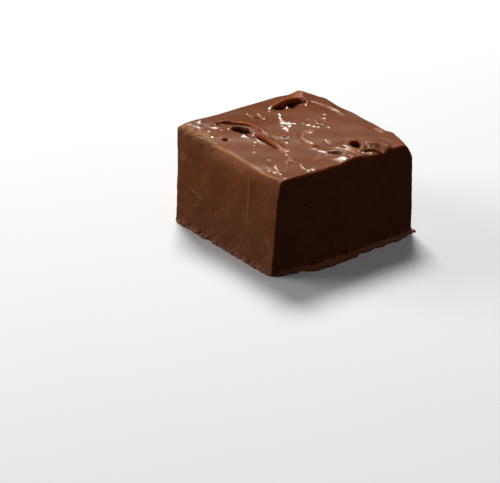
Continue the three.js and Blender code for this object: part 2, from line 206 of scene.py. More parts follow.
class Block:
    """The plain sizes of the square in millimetres, and its four sides worked out from them."""

    def __init__(self, shape):
        self.width = shape.width / MM
        self.depth = shape.depth / MM
        self.height = shape.height / MM
        self.edge_radius = shape.edge_radius / MM
        self.foot_height = shape.foot_height / MM
        self.wave_height = shape.wave_height / MM
        self.cut_wander = shape.cut_wander / MM
        self.stir_depth = shape.stir_depth
        self.stir_fade = shape.stir_fade / MM
        self.grain_height = shape.grain_height / MM
        self.crumb_height = shape.crumb_height / MM

    def foot_share(self, high):
        """How full the smear is: all of it at the underside, gone at its own thickness."""
        return 1.0 - smoothstep(high, self.foot_height * FOOT_START, self.foot_height)

    def wander(self, along, high, turn):
        """The slow wander of a knife-cut side: a long sweep with a smaller ripple across it."""
        sweep = np.sin(along * 0.17 + turn) * np.cos(high * 0.11 + turn)
        ripple = np.sin(along * 0.53 - high * 0.31 + turn * 2.0)
        return self.cut_wander * (0.7 * sweep + 0.3 * ripple)

    def right(self, y, z):
        """The right side's x: half the width, tucked in and undercut lower down, and pitted."""
        low = 1.0 - z / self.height
        undercut = FRONT_CORNER_SET_BACK * low**1.2 * bell(y - FRONT_Y, FRONT_CORNER_SPAN)
        side = self.width / 2 + RIGHT_OFFSET - RIGHT_TUCK * low - undercut
        side = side - pitting(y, z, RIGHT_PITS) + self.wander(y, z, WANDER_TURN["right"])
        return side + self.foot_share(z) * smear_right(y)

    def left(self, y, z):
        """The left side's x: half the width, set in towards the front, and spread lower down."""
        low = 1.0 - z / self.height
        at_corner = bell(y - FRONT_Y, LEFT_CORNER_SPAN)
        near_top = bell(self.height - z, LEFT_TOP_SPAN) * smoothstep(y, -24.0, -15.5)
        set_in = LEFT_SET_IN * at_corner * (1.0 - 1.05 * near_top)
        side = -self.width / 2 + set_in - LEFT_LEAN * low**0.8 * at_corner - LEFT_SPREAD * low
        side = side + self.wander(y, z, WANDER_TURN["left"])
        return side - self.foot_share(z) * smear_left(y)

    def front(self, x, z):
        """The front side's y: half the depth, pitted, leaning back ever faster near its top."""
        low = 1.0 - z / self.height
        lean = np.clip((z - self.height + SHOULDER_HEIGHT) / SHOULDER_HEIGHT, 0.0, 1.0)
        side = -self.depth / 2 - FRONT_SPREAD * low + shoulder(x) * lean**2
        side = side + pitting(x, z, FRONT_PITS) + self.wander(x, z, WANDER_TURN["front"])
        return side - self.foot_share(z) * smear_front(x)

    def back(self, x, z):
        """The back side's y: half the depth, spread lower down, its far right corner worn."""
        low = 1.0 - z / self.height
        spread = BACK_SPREAD * low * smoothstep(x, -5.0, 20.0)
        worn = np.clip((z - self.height + WORN_HEIGHT) / WORN_HEIGHT, 0.0, 1.0)
        side = self.depth / 2 + BACK_OFFSET + spread - worn_back(x) * worn**1.8
        side = side + self.wander(x, z, WANDER_TURN["back"])
        return side + self.foot_share(z) * smear_back(x)

    def rounding(self, x, y, z):
        """How far the edge near a point is rounded: most at the crumbly part of the front rim."""
        near_top = smoothstep(z, self.height - 7.0, self.height - 2.0)
        front = (front_rim(x) - self.edge_radius) * bell(y + self.depth / 2, 3.2)
        return self.edge_radius + front * near_top


# ---- The poured top --------------------------------------------------------------------

# A fold is a lip along a path of (x, y, strength) points, with a hollow on its right-hand
# side: ridge height, ridge width, hollow depth, hollow width, lean of the lip, how much painted
# glow the lip gets (an orange painted on in place of light coming through it), and how far
# down the wall of the hollow that painted glow sits.
FOLDS = {
    "far slit of the long tear": (0.35, 0.45, 0.5, 0.4, 0.35, 0.3, 0.0, [
        (-16.9, -10.7, 0), (-16.3, -9.3, 0.7), (-15.2, -7.9, 1), (-13.7, -7.1, 1),
        (-12.4, -6.3, 0.8), (-10.9, -5.7, 0.4), (-9.4, -5, 0)]),
    "lip of the long tear": (0.4, 0.45, 1.3, 0.6, 0.45, 0.12, 0.0, [
        (-12.9, -9.4, 0), (-12.2, -8.4, 0.8), (-11.1, -7.4, 1), (-9.6, -6.7, 1),
        (-8.2, -6.4, 0.8), (-7, -6.5, 0.45), (-5.8, -6.8, 0)]),
    "torn sheet of the long tear": (0.7, 0.5, 0.9, 0.4, 0.7, 0.9, 0.3, [
        (-5.8, -6.9, 0), (-4.2, -6.7, 0.7), (-2.5, -6.4, 1), (-0.6, -6.4, 1), (1.8, -6.6, 0.9),
        (3.5, -7.1, 0.7), (5, -7.6, 0.45), (6.4, -7.6, 0.3), (7.2, -6.6, 0)]),
    "deep pit near the back left corner": (1.0, 0.6, 1.9, 0.7, 0.7, 0.9, -0.1, [
        (-14.6, 4.2, 0), (-15.7, 5.9, 0.7), (-16.2, 8, 1), (-16.5, 10.4, 1), (-16.5, 12.4, 1),
        (-15.8, 14, 0.6), (-14.4, 14.8, 0.3), (-13.2, 14.8, 0)]),
    "bright crease": (0.07, 0.9, 0.05, 0.7, 0.1, 0.0, 0.0, [
        (-12.2, 5, 0), (-10, 3.7, 0.5), (-7.8, 2.5, 0.9), (-6, 1.5, 1), (-4.2, 0.5, 1),
        (-2.4, -0.2, 0.6), (-0.4, -0.3, 0)]),
    "small lip at the left": (0.3, 0.35, 0.35, 0.3, 0.35, 0.35, 0.1, [
        (-16.4, -1.2, 0), (-15.4, -1, 0.8), (-13.6, -0.7, 1), (-12.4, -0.3, 0.8),
        (-11, 0.2, 0)]),
    "tongue of the right tear": (0.1, 0.9, 0.15, 0.4, 0.1, 0.06, 0.0, [
        (9.6, -1.9, 0), (10.7, -1.5, 0.4), (12.1, -0.9, 1), (13.4, -0.2, 0.8), (14.4, 0.5, 0)]),
    "rolled front of the right tear": (0.5, 0.85, 0.62, 0.34, 0.15, 0.0, 0.0, [
        (13, -0.6, 0), (13.7, 0.2, 0.7), (14.6, 1.1, 1), (15.8, 1.8, 1), (17.2, 2.1, 0.9),
        (18.6, 2.1, 0.7), (20, 2.2, 0.2)]),
    "shining slope of the right tear": (0.4, 1.5, 0.1, 1.2, 0.0, 0.0, 0.0, [
        (10.6, 2.1, 0), (12.4, 2.9, 0.6), (14.4, 3.9, 1), (16, 4.2, 1), (17.4, 4, 0.8),
        (18.8, 4, 0)]),
    "rim of the round hole": (0.45, 0.4, 1.9, 0.8, 0.3, 0.6, -0.2, [
        (14.4, 5.2, 0), (13.1, 6.1, 0.8), (12.4, 7.2, 1), (12.6, 8.6, 1), (13.7, 9.2, 1),
        (15.2, 8.8, 0.8), (16.2, 7.9, 0.5), (16.7, 7, 0)]),
    "roll over the right edge": (0.4, 0.8, 0.3, 0.8, 0.2, 0.1, 0.0, [
        (20.2, 5.6, 0), (18.8, 6.2, 0.8), (17.6, 7.2, 1), (16.4, 8.6, 0.6), (15.6, 9.8, 0)]),
    "upper lip of the right tear": (0.8, 1.1, 0.5, 0.5, 0.3, 0.22, 0.0, [
        (14.9, 8.9, 0), (15.6, 9.9, 0.6), (16.4, 11, 1), (17.7, 12.1, 1), (19, 12.5, 0.9),
        (20, 12.9, 0.5), (21, 13.6, 0.1)]),
    "swell along the back": (0.06, 0.7, 0.14, 0.5, 0.0, 0.2, 0.0, [
        (-14.4, 15.6, 0), (-12.7, 16.3, 0.8), (-11, 17, 1), (-8.6, 17.4, 1), (-6.4, 17.2, 0.7),
        (-3.7, 16.8, 0.5), (-0.9, 16.8, 0)]),
}

# A lump, or with a negative rise a dent: x, y, half width in X, half width in Y, rise, and
# painted glow (the thin-lip orange, painted on in place of light coming through).
LUMPS = [
    (-18.6, 16.7, 2.1, 2.0, 1.3, 0.5),  # back left corner
    (-17.4, 14.8, 1.3, 1.8, 0, 0.25),  # dull slope below it
    (-13.4, 10.6, 1.2, 2.2, -0.5, 0),  # bottom of the deep pit
    (-14.2, 8.7, 1.0, 0.9, 1.1, 0),  # bead in the pit
    (-8.6, -8.4, 2.2, 1.0, -0.4, 0),  # bottom of the long tear
    (-6.1, -7.4, 1.3, 0.8, 0.4, 0),  # smooth bulge at its right end
    (-2.6, -8, 2.0, 0.6, -0.3, 0),
    (-15.5, -11.8, 1.3, 1.2, 0.4, 0),  # beads round the left end of the long tear
    (-11.9, -10, 0.6, 0.6, 0.35, 0),
    (-6, -10.3, 0.8, 0.6, 0.25, 0),
    (-5.2, 1.7, 0.5, 0.4, -0.5, 0),  # dark spot in the bright crease
    (13.7, 4.8, 2.2, 2.0, 0.6, 0),  # white slope before the round hole
    (14.4, 7.2, 1.1, 1.1, -0.5, 0),  # bottom of the round hole
    (14, 7.6, 0.45, 0.45, 0.7, 0.3),  # bead in it
    (17, 4.9, 1.2, 1.1, 0.1, 0.55),  # thin wall in front of it
    (17.4, 9.8, 0.7, 0.8, -0.5, 0),  # hollow under the upper lip
    (18.8, 8.6, 1.4, 1.1, 0.45, 0),  # smooth roll beside it
    (20.6, 10.4, 0.8, 0.9, 0.1, 0.5),  # its thin right end
    (17.8, 0.5, 2.0, 1.9, 0.65, 0),  # shining shoulder before the right edge
    (18.9, -8.4, 1.1, 1.7, 0.3, 0),  # white places along the right edge
    (14.4, -18.1, 0.7, 0.4, -0.2, 0.3),  # small pit by the front corner
    (9, -0.9, 0.8, 0.7, 0.95, 1.0),  # torn tip at the left end of the right tear
    (19.4, 17, 1.5, 1.6, -0.25, 0.25),  # thin place by the worn corner
    (10.6, 18.2, 1.4, 0.7, 0.65, 0.6),  # crumb pressed into the top
    (-7.3, -15, 0.8, 0.6, -0.4, 0),  # small pit by the front rim
    (18.8, 10.9, 1.2, 0.7, -0.4, 0),  # dark hollow between the rolls of the right tear
    (20, 11.2, 1.1, 1.2, 0, 0.25),  # its dull right end
    (9.3, -2.1, 0.9, 0.7, 0, 0.2),  # dull foot of the torn tip
    (19.8, -18.8, 0.9, 0.9, 0, 0.15),  # dull front right corner
    (-19.6, -10, 2.2, 6, 0.25, 0),  # low swell along the left edge
    (-19.9, -16.4, 3.6, 6, 0.42, 0),  # and at the front left corner
]

# A facet is a small flat-topped place that slopes down towards the front right, as a shaving
# does: x, y, half length down the slope, half width across it.
DOWNHILL = np.array([0.64, -0.77])  # the way that facets and shingles slope
FACET_SLOPE = 0.27
FACETS = [
    (-1.5, 5.9, 0.65, 0.75), (-2.3, 11.4, 0.35, 0.6), (-6.2, 14, 0.35, 0.6),
    (-14.5, 8.9, 0.8, 0.9), (-14.5, 5.3, 0.5, 0.45), (-14, 3.5, 0.4, 0.3),
    (18.5, 6, 0.8, 0.55), (16.6, 8.8, 0.5, 0.45), (17.2, 7.9, 0.4, 0.4),
    (-15.7, -10.1, 0.3, 0.6), (-11.2, -9.9, 0.6, 0.5), (-20, -13.2, 0.6, 0.35),
    (-5.7, -9.9, 0.4, 0.7), (-3.5, -15.3, 0.35, 0.4), (-10.3, -16.6, 0.7, 0.4),
    (8.5, -9, 0.45, 0.4), (1, -1.6, 0.45, 0.4), (-0.2, -5.5, 0.5, 0.35),
    (15.5, -15.1, 0.3, 0.7), (11.9, -10.1, 0.5, 0.4), (11.5, -9.8, 0.7, 0.35),
    (-6.3, 17.4, 0.5, 0.9), (-4.9, 17.4, 0.35, 0.5), (-2.4, 17, 0.3, 0.4),
]

# A shingled crease is like a row of facets one behind another: its slope, then (x, y, half
# width) along its path.
SHINGLE_PITCH = 1.6  # millimetres from one shingle to the next
SHINGLES = [
    (FACET_SLOPE, [
        (-12, 4.7, 0.2), (-10.7, 4, 0.4), (-8.6, 3, 0.5), (-7.3, 2.5, 0.7), (-6.2, 2, 1.05),
        (-5, 1.2, 0.95), (-3.7, 0.5, 0.75), (-2.5, 0.1, 0.6), (-1.7, -0.1, 0.3)]),
    (FACET_SLOPE, [(-3.4, 1.5, 0.3), (-4.4, 2.2, 0.6), (-5.3, 2.9, 0.6), (-6, 3.4, 0.25)]),
    (FACET_SLOPE, [(-5.2, 2.9, 0.3), (-4.9, 3.6, 0.28), (-4.4, 4.3, 0.2)]),
    (0.42, [
        (13, -17.4, 0.2), (14.4, -17.5, 0.4), (15.7, -17.4, 0.85), (16.8, -17.3, 0.8),
        (17.6, -17.4, 0.3)]),
    (0.34, [(12, -14.5, 0.12), (12.9, -15.3, 0.18), (14.3, -16, 0.18), (15.8, -16.5, 0.2)]),
    (FACET_SLOPE, [
        (13.6, -12.8, 0.15), (12.6, -11.8, 0.25), (12, -11.1, 0.25), (11.7, -10.7, 0.15)]),
    (FACET_SLOPE, [
        (15.4, -10, 0.35), (16.4, -10.4, 0.35), (17.6, -10.8, 0.25), (18.8, -11.2, 0.15)]),
    (FACET_SLOPE, [
        (19.3, -11.1, 0.2), (19.8, -10.4, 0.4), (20, -9.6, 0.4), (20, -8.8, 0.2)]),
    (FACET_SLOPE, [(-8.4, 17.5, 0.2), (-7, 17.4, 0.5), (-5.4, 17.4, 0.5), (-4, 17.2, 0.3)]),
    (FACET_SLOPE, [
        (-12, 13.9, 0.2), (-13.2, 14.7, 0.35), (-14.4, 15.2, 0.35), (-15.6, 15.4, 0.2)]),
]

# Pale marks in the top, partly scratches and partly painted highlights on streaks and beads
# that catch the light: half width, then a path of (x, y, strength).
SCRATCHES_AND_GLINTS = [
    (0.26, [
        (3.1, 3.5, 0), (2.3, 2.9, 0.8), (2.2, 1.9, 1), (2.6, 0.8, 1), (3.3, 0, 1), (4.8, -0.3, 0.8),
        (6, -0.3, 0.8), (7.2, -0.2, 1), (7.8, -0.1, 0.4)]),
    (0.26, [(11.9, -2.3, 0), (12.4, -1.8, 0.8), (13.3, -1.4, 1), (14.2, -1.4, 1), (15, -1.5, 0)]),
    (0.22, [
        (14.2, -5.6, 0), (14.3, -4.6, 0.7), (14, -3.7, 0.8), (13.6, -2.8, 0.8), (13.7, -2.2, 0)]),
    (0.3, [
        (10.2, -16.8, 0), (11.7, -16.4, 0.7), (14.1, -17.1, 1), (15.7, -17.2, 1), (16.7, -17, 0)]),
    (0.26, [(11.3, -14.2, 0), (12.4, -15.1, 1), (14.2, -15.8, 0.8), (15.8, -16.4, 0)]),
    (0.28, [(14.1, -13.3, 0), (12.4, -11.7, 0.8), (11.7, -10.8, 1), (11, -9.4, 0)]),
    (0.28, [(15.4, -9.8, 0.6), (16.9, -10.5, 1), (18.5, -11, 0.6), (19.4, -11.2, 0)]),
    (0.24, [(11.1, -9.3, 0), (12.2, -9.8, 1), (13.4, -9.7, 0.8), (14.8, -9.9, 0)]),
    (0.26, [(2.6, -6.9, 0), (4.8, -7.6, 0.8), (6.3, -7.7, 1), (6.5, -6.7, 0.8), (6.4, -5.9, 0)]),
    (0.22, [(7.2, -8, 0), (8.7, -9, 0.8), (10.6, -9.4, 0.8), (12.4, -10, 0)]),
    (0.2, [(3.7, -15.3, 0), (2.5, -13.7, 0.6), (2.3, -12, 0.6), (2.1, -10.5, 0)]),
    (0.3, [(-20.7, -12.7, 0.8), (-18.2, -14.4, 0.8), (-17.3, -16, 0.6), (-15.8, -15.6, 0)]),
    (0.3, [(-13.1, -15.7, 0), (-14, -14.5, 0.8), (-14.2, -13.6, 0)]),
    (0.5, [(-15, 8.4, 0.6), (-14.5, 9, 1), (-14, 9.8, 0.6)]),
    (0.4, [
        (-7.8, 17.5, 0), (-6.3, 17.4, 0.6), (-4.9, 17.4, 0.7), (-2.6, 16.9, 0.5), (-1.4, 16.9, 0)]),
]

# Finer folds, with the same numbers.
FINE_FOLDS = {
    "outer lip of the long tear": (0.3, 0.38, 0.3, 0.35, 0.25, 0.85, 0.1, [
        (-13.6, -6.8, 0), (-12.5, -5.9, 0.8), (-11, -5.2, 1), (-9.2, -4.7, 1), (-7.2, -4.5, 0.9),
        (-5.6, -4.7, 0.6), (-4, -5.2, 0)]),
    "crease behind the torn sheet": (0.05, 0.3, 0.35, 0.4, 0.0, 0.15, 0.0, [
        (-5.2, -4.8, 0), (-3.6, -4.6, 0.8), (-1.8, -4.4, 1), (0, -3.9, 0.8), (1.4, -3.2, 0)]),
    "near edge of the long tear": (0.06, 0.35, 0.2, 0.6, 0.0, 0.0, 0.0, [
        (3.2, -8.8, 0), (0.7, -9, 0.8), (-1.4, -9.5, 1), (-3.2, -9.6, 0.8), (-5.7, -9.8, 1),
        (-8, -10.2, 0.8), (-10.4, -10.4, 1), (-12.2, -10.2, 0.6), (-13, -9.4, 0)]),
    "sliver under the torn sheet": (0.3, 0.25, 0.1, 0.3, 0.0, 0.0, 0.0, [
        (-4.2, -8.8, 0), (-3.3, -8.9, 1), (-2.2, -9, 1), (-1.1, -8.8, 1), (0.2, -7.8, 0)]),
    "groove behind the torn sheet": (0.15, 0.3, 0.18, 0.3, 0.2, 0.0, 0.0, [
        (-2.4, -2.4, 0), (-1.5, -2.7, 1), (0.2, -2.9, 1), (1.1, -1.9, 0.7), (0.2, -0.6, 0)]),
    "slit behind the torn sheet": (0.1, 0.3, 0.5, 0.4, 0.1, 0.2, 0.0, [
        (-3.4, -5.1, 0), (-2, -4.9, 0.8), (-0.4, -5.1, 1), (1.2, -5.6, 0.8), (2.6, -6.2, 0)]),
    "outer start of the slit": (0.25, 0.35, 0.3, 0.4, 0.3, 0.5, 0.0, [
        (-17, -12, 0), (-16.5, -11, 1), (-16, -10, 1), (-15, -9.6, 0)]),
    "string in the deep pit": (0.55, 0.3, 0.4, 0.4, 0.4, 0.15, 0.0, [
        (-15.2, 15.7, 0), (-14.2, 15.4, 0.8), (-13, 14.9, 1), (-12.2, 14.1, 1), (-11.9, 13.3, 0.6),
        (-12.8, 13.2, 0)]),
    "second lip at the left": (0.2, 0.3, 0.25, 0.4, 0.3, 0.35, 0.0, [
        (-14.8, 0.9, 0), (-13.6, 0.9, 1), (-12.4, 0.7, 1), (-11.2, 0.1, 0)]),
    "curled scratch": (0.3, 0.26, 0.3, 0.3, 0.1, 0.0, 0.0, [
        (2.9, 4.4, 0), (2.3, 3.8, 0.8), (1.7, 2.9, 1), (1.7, 1.9, 1), (2.3, 1, 1),
        (3, 0.3, 0.6), (4.9, -0.2, 0.4), (6.5, 0, 0.4), (7.6, 0.2, 0)]),
    "line beside the right tear": (0.08, 0.22, 0.2, 0.3, 0.0, 0.0, 0.0, [
        (7.4, 3.8, 0), (8.6, 3.8, 1), (10.5, 3.7, 1), (12.2, 3.7, 0)]),
    "small line before the right tear": (0.07, 0.22, 0.1, 0.3, 0.0, 0.0, 0.0, [
        (12.6, -1.6, 0), (13.3, -2.4, 1), (13.9, -3.9, 0.8), (14.4, -5.4, 0)]),
    "second roll at the right edge": (0.45, 0.7, 0.5, 0.45, 0.3, 0.1, 0.0, [
        (17.4, 6.9, 0), (17.9, 7.8, 0.8), (18.5, 8.7, 1), (19.3, 9.6, 1), (20.1, 10.4, 0.8),
        (20.8, 11, 0.4)]),
    "small pit by the front rim": (0.12, 0.25, 0.3, 0.4, 0.2, 0.4, 0.0, [
        (-8.4, -15.4, 0), (-8, -14.6, 1), (-7.2, -14.2, 1), (-6.5, -14.6, 0.6),
        (-6.4, -15.2, 0)]),
    "third drag mark": (0.14, 0.35, 0.12, 0.35, 0.0, 0.0, 0.0, [
        (11.9, -10.9, 0), (12.3, -11.4, 1), (13, -12.1, 1), (14, -13.2, 0.8), (14.8, -14.2, 0)]),
    "brown drag mark": (0.0, 0.4, 0.22, 0.6, 0.0, 0.0, 0.0, [
        (7.6, -13.4, 0), (8.7, -13.4, 0.8), (10.2, -13.6, 1), (11.6, -14.2, 0.8), (12.8, -15, 0)]),
    "line before the right edge": (0.05, 0.25, 0.08, 0.3, 0.0, 0.0, 0.0, [
        (14.2, -6.8, 0), (14.1, -5.2, 1), (14.2, -3.6, 1), (14, -1.8, 0)]),
    "mark at the left corner": (0.12, 0.3, 0.12, 0.35, 0.0, 0.2, 0.0, [
        (-19.8, -16.4, 0), (-18.4, -16.4, 1), (-17, -15.6, 0.8), (-15.8, -14.8, 0)]),
    "streak along the back": (0.08, 0.6, 0.1, 0.6, 0.0, 0.0, 0.0, [
        (-10.4, 18.5, 0), (-8.6, 18.1, 1), (-6.4, 17.6, 1), (-4, 17.4, 0.5), (-2, 17.4, 0)]),
}

# Small beads: x, y, radius, rise.
BEADS = [
    (-4.4, 13.5, 0.4, 0.13), (-2.5, 11.6, 0.55, 0.14), (-2.8, 9.4, 0.35, 0.14),
    (-1.5, 8.8, 0.4, 0.12), (-0.5, 6.7, 0.35, 0.12), (0.6, 7.5, 0.35, 0.12),
    (2.1, 9.3, 0.35, 0.1), (-0.8, 10.8, 0.45, 0.1), (-0.2, 9.3, 0.3, 0.1), (-3.4, 6, 0.45, 0.1),
    (-4.6, 8.3, 0.35, 0.08), (-14.9, -12.3, 0.5, 0.25), (-12.7, -11.9, 0.25, 0.12),
    (-13.7, -14.7, 0.5, 0.16), (-2.2, -10.1, 0.3, 0.12), (-0.7, -11.2, 0.3, 0.1),
    (-4.9, -5.3, 0.35, 0.15), (-1.9, -5.6, 0.3, 0.2), (0.2, -4.8, 0.25, 0.15),
    (-0.6, -3.3, 0.25, 0.08), (0.2, -2.8, 0.25, 0.08), (2.9, -4.2, 0.3, 0.1),
    (-12.6, -2.5, 0.3, 0.1), (-9.9, 1, 0.25, 0.1), (15.8, 9, 0.35, 0.25), (16.4, 8.2, 0.3, 0.2),
    (17.1, 7.4, 0.4, 0.25), (18.3, 6, 0.35, 0.2), (19.4, 6.4, 0.3, 0.2), (17, 9.2, 0.25, 0.2),
    (16.6, 6.9, 0.3, -0.2), (16, 9.8, 0.3, -0.2), (19.2, 11.8, 0.4, 0.15),
    (-18.8, -14, 0.45, 0.16), (-16.9, -15.6, 0.4, 0.12), (2.5, -13.7, 0.3, 0.08),
]

# Wrinkled patches, which sparkle: x, y, half width in X, half width in Y, strength.
WRINKLES = [
    (14.1, 4.2, 1.3, 0.9, 1.5), (17, 7.2, 0.9, 0.9, 2.0), (-15.1, -12.2, 1.1, 0.8, 2.0),
    (0.2, -2.4, 1.4, 1.0, 2.0), (-6.2, -10.1, 1.6, 0.5, 2.0), (-2, -10.5, 1.2, 0.5, 2.0),
    (1.8, -12.6, 1.2, 1.2, 1.0), (-9, -4.6, 2.0, 0.6, 1.5), (-0.6, -5.2, 1.6, 0.6, 2.0),
]

STRETCHES = 28  # straight stretches along each path
RIDGE_BACK = 0.4  # how far behind its lip a ridge stands, in ridge widths
# A lip that glows here is one given painted glow: an orange in place of light coming through.
GLOW_RAGGED = 6.0  # how fast a lip that glows turns ragged and crumpled
GLOW_DULL = 4.0  # and how fast it turns dull
DULL_REACH = 1.3  # how far the dullness goes, in ridge widths or half widths
CRUMPLE_REACH = 1.6  # how far the crumple goes, in millimetres
LIP_STRAY = 0.2  # millimetres that the lips stray
LIP_RAGGED = 0.5  # share by which the lips' height strays
CRUMPLE = 0.05  # millimetres of crumple beside the folds
CREASE_SIZE = 0.8  # millimetres from one crease of the crumple to the next
BEAD_SPREAD = 1.9  # how much wider a bead's skirt is than its radius
BEAD_RISE = 1.5  # how much higher it stands than its rise says, to make up for the steep bell
ALL_FOLDS = [*FOLDS.values(), *FINE_FOLDS.values()]


def chain_of(path):
    """A Catmull-Rom curve through the path's points, cut into short straight stretches."""
    points = np.array(path, float)
    padded = np.vstack([2 * points[0] - points[1], points, 2 * points[-1] - points[-2]])
    at = np.linspace(0.0, len(points) - 1.0, STRETCHES + 1)
    i = np.minimum(at.astype(int), len(points) - 2)
    t = (at - i)[:, None]
    a, b, c, d = (padded[i + k] for k in range(4))
    straight = 2 * b + (c - a) * t
    return 0.5 * (straight + (2 * a - 5 * b + 4 * c - d) * t**2 + (3 * b - a - 3 * c + d) * t**3)


def nearest_on(chain, x, y):
    """Where each point lies beside a chain of (x, y, value) points.

    Returns its distance from the nearest stretch, positive on the left-hand side, the chain's
    value there, and the x and y of the unit step to the right-hand side.
    """
    gap = np.full(x.shape, np.inf)
    offset, value, in_x, in_y = (np.zeros(x.shape) for _ in range(4))
    for start, stop in zip(chain[:-1], chain[1:]):
        along = stop - start
        long = np.hypot(along[0], along[1])
        share = np.clip(((x - start[0]) * along[0] + (y - start[1]) * along[1]) / long**2, 0, 1)
        away_x = x - start[0] - share * along[0]
        away_y = y - start[1] - share * along[1]
        off = np.hypot(away_x, away_y)
        closer = off < gap
        side = np.where(along[0] * away_y - along[1] * away_x >= 0, 1.0, -1.0)
        gap = np.where(closer, off, gap)
        offset = np.where(closer, side * off, offset)
        value = np.where(closer, np.maximum(0.0, start[2] + share * along[2]), value)
        in_x = np.where(closer, along[1] / long, in_x)
        in_y = np.where(closer, -along[0] / long, in_y)
    return offset, value, in_x, in_y


def hollow_shape(away):
    """A hollow's section: 0 at the lip, deepest at 1, then easing out: u e to the 1 less u."""
    away = np.maximum(away, 0.0)
    return away * np.exp(1.0 - away)


def tilted(x, y):
    """How far facets and shingles raise the top.

    A facet goes down at FACET_SLOPE along DOWNHILL. A shingled crease is a saw: it goes down
    evenly over five sixths of SHINGLE_PITCH and comes back up over the last sixth. Both fade at
    their rims as e to the minus fourth power of the distance in half widths, and where several
    lie over one another their sum is shared out.
    """
    rise, cover = np.zeros(x.shape), np.zeros(x.shape)
    for facet_x, facet_y, half_long, half_wide in FACETS:
        along = (x - facet_x) * DOWNHILL[0] + (y - facet_y) * DOWNHILL[1]
        across = (x - facet_x) * DOWNHILL[1] - (y - facet_y) * DOWNHILL[0]
        away = np.hypot(along / half_long, across / half_wide)
        flat_topped = bell(away**2, 1.0)
        rise -= FACET_SLOPE * along * flat_topped
        cover += flat_topped
    step = (x * DOWNHILL[0] + y * DOWNHILL[1]) / SHINGLE_PITCH % 1.0
    saw = np.minimum(step - 0.5, 5.0 * (1.0 - step) - 0.5)
    for slope, path in SHINGLES:
        offset, half_wide, _, _ = nearest_on(chain_of(path), x, y)
        flat_topped = bell((offset / np.maximum(half_wide, 0.05)) ** 2, 1.0)
        rise -= slope * SHINGLE_PITCH * saw * flat_topped
        cover += flat_topped
    return rise / np.maximum(cover, 1.0)


def stir(block, x, y):
    """What the stirring did to the top: each point's move, painted glow, dullness and pale marks.

    Each fold adds a bell-shaped ridge just behind its lip, takes away a hollow in front of it
    and leans the crest over the hollow. Each lump adds a bell and each bead a steeper one;
    facets and shingles tilt what lies under them. The places are first strayed a little, so
    that every lip runs ragged. Torn lips, which are those given painted glow, are dull, and the
    top is crumpled beside the folds and in the wrinkled patches by the sharp creases of a noise:
    1 less twice its size. A pale mark is a bell across its path; it paints a scratch, or a
    painted highlight on a streak or bead that catches the light.
    """
    flat = np.stack([x, y, np.zeros_like(x)], axis=-1)
    x = x + LIP_STRAY * rough_noise(flat, 2.1, SEEDS["lip stray x"], 2)
    y = y + LIP_STRAY * rough_noise(flat, 2.1, SEEDS["lip stray y"], 2)
    ragged = LIP_RAGGED * rough_noise(flat, 3.0, SEEDS["lip height"], 2)
    move = np.zeros(x.shape + (3,))
    glow, dull, crumple, pale = (np.zeros(x.shape) for _ in range(4))
    for ridge, ridge_width, hollow, hollow_width, lip, shine, down, path in ALL_FOLDS:
        chain = chain_of(path)
        reach = 4.0 * max(ridge_width, 2.0 * hollow_width)
        low, high = chain.min(0)[:2] - reach, chain.max(0)[:2] + reach
        near = (x > low[0]) & (x < high[0]) & (y > low[1]) & (y < high[1])
        offset, strength, in_x, in_y = nearest_on(chain, x[near], y[near])
        rough = min(1.0, GLOW_RAGGED * shine)
        size = strength * block.stir_depth * (1.0 + rough * ragged[near])
        rise = size * ridge * bell(offset - RIDGE_BACK * ridge_width, ridge_width)
        rise -= size * hollow * hollow_shape(-offset / hollow_width)
        lean = size * lip * bell(offset, ridge_width)
        move[near] += np.stack([lean * in_x, lean * in_y, rise], axis=-1)
        # Painted glow near the lip's crest, in place of light coming through the thin lip.
        lit = bell(offset + down * ridge_width, (0.35 + 0.4 * down) * ridge_width)
        glow[near] = np.maximum(glow[near], strength * shine * lit)
        torn = strength * min(1.0, GLOW_DULL * shine) * bell(offset, DULL_REACH * ridge_width)
        dull[near] = np.maximum(dull[near], torn)
        folded = rough * strength * bell(offset, CRUMPLE_REACH) * ridge * 2.0
        crumple[near] = np.maximum(crumple[near], folded)
    for lump_x, lump_y, half_x, half_y, rise, shine in LUMPS:
        away = np.hypot((x - lump_x) / half_x, (y - lump_y) / half_y)
        move[..., 2] += block.stir_depth * rise * bell(away, 1.0)
        glow = np.maximum(glow, shine * bell(away, 0.9))
        dull = np.maximum(dull, min(1.0, GLOW_DULL * shine) * bell(away, DULL_REACH))
    for bead_x, bead_y, radius, rise in BEADS:
        away = np.hypot(x - bead_x, y - bead_y)
        bead = bell(away, BEAD_SPREAD * radius) ** 1.5
        move[..., 2] += block.stir_depth * BEAD_RISE * rise * bead
    move[..., 2] += block.stir_depth * tilted(x, y)
    for half_width, path in SCRATCHES_AND_GLINTS:
        offset, strength, _, _ = nearest_on(chain_of(path), x, y)
        pale = np.maximum(pale, strength * bell(offset, half_width))
    crumple = np.minimum(crumple, 1.0)
    for patch_x, patch_y, half_x, half_y, strength in WRINKLES:
        away = np.hypot((x - patch_x) / half_x, (y - patch_y) / half_y)
        crumple = np.maximum(crumple, strength * bell(away, 1.0))
    crease = 1.0 - 2.0 * np.abs(soft_noise(flat, CREASE_SIZE, SEEDS["crumple"]))
    move[..., 2] += CRUMPLE * crumple * crease
    return move, glow, dull, pale


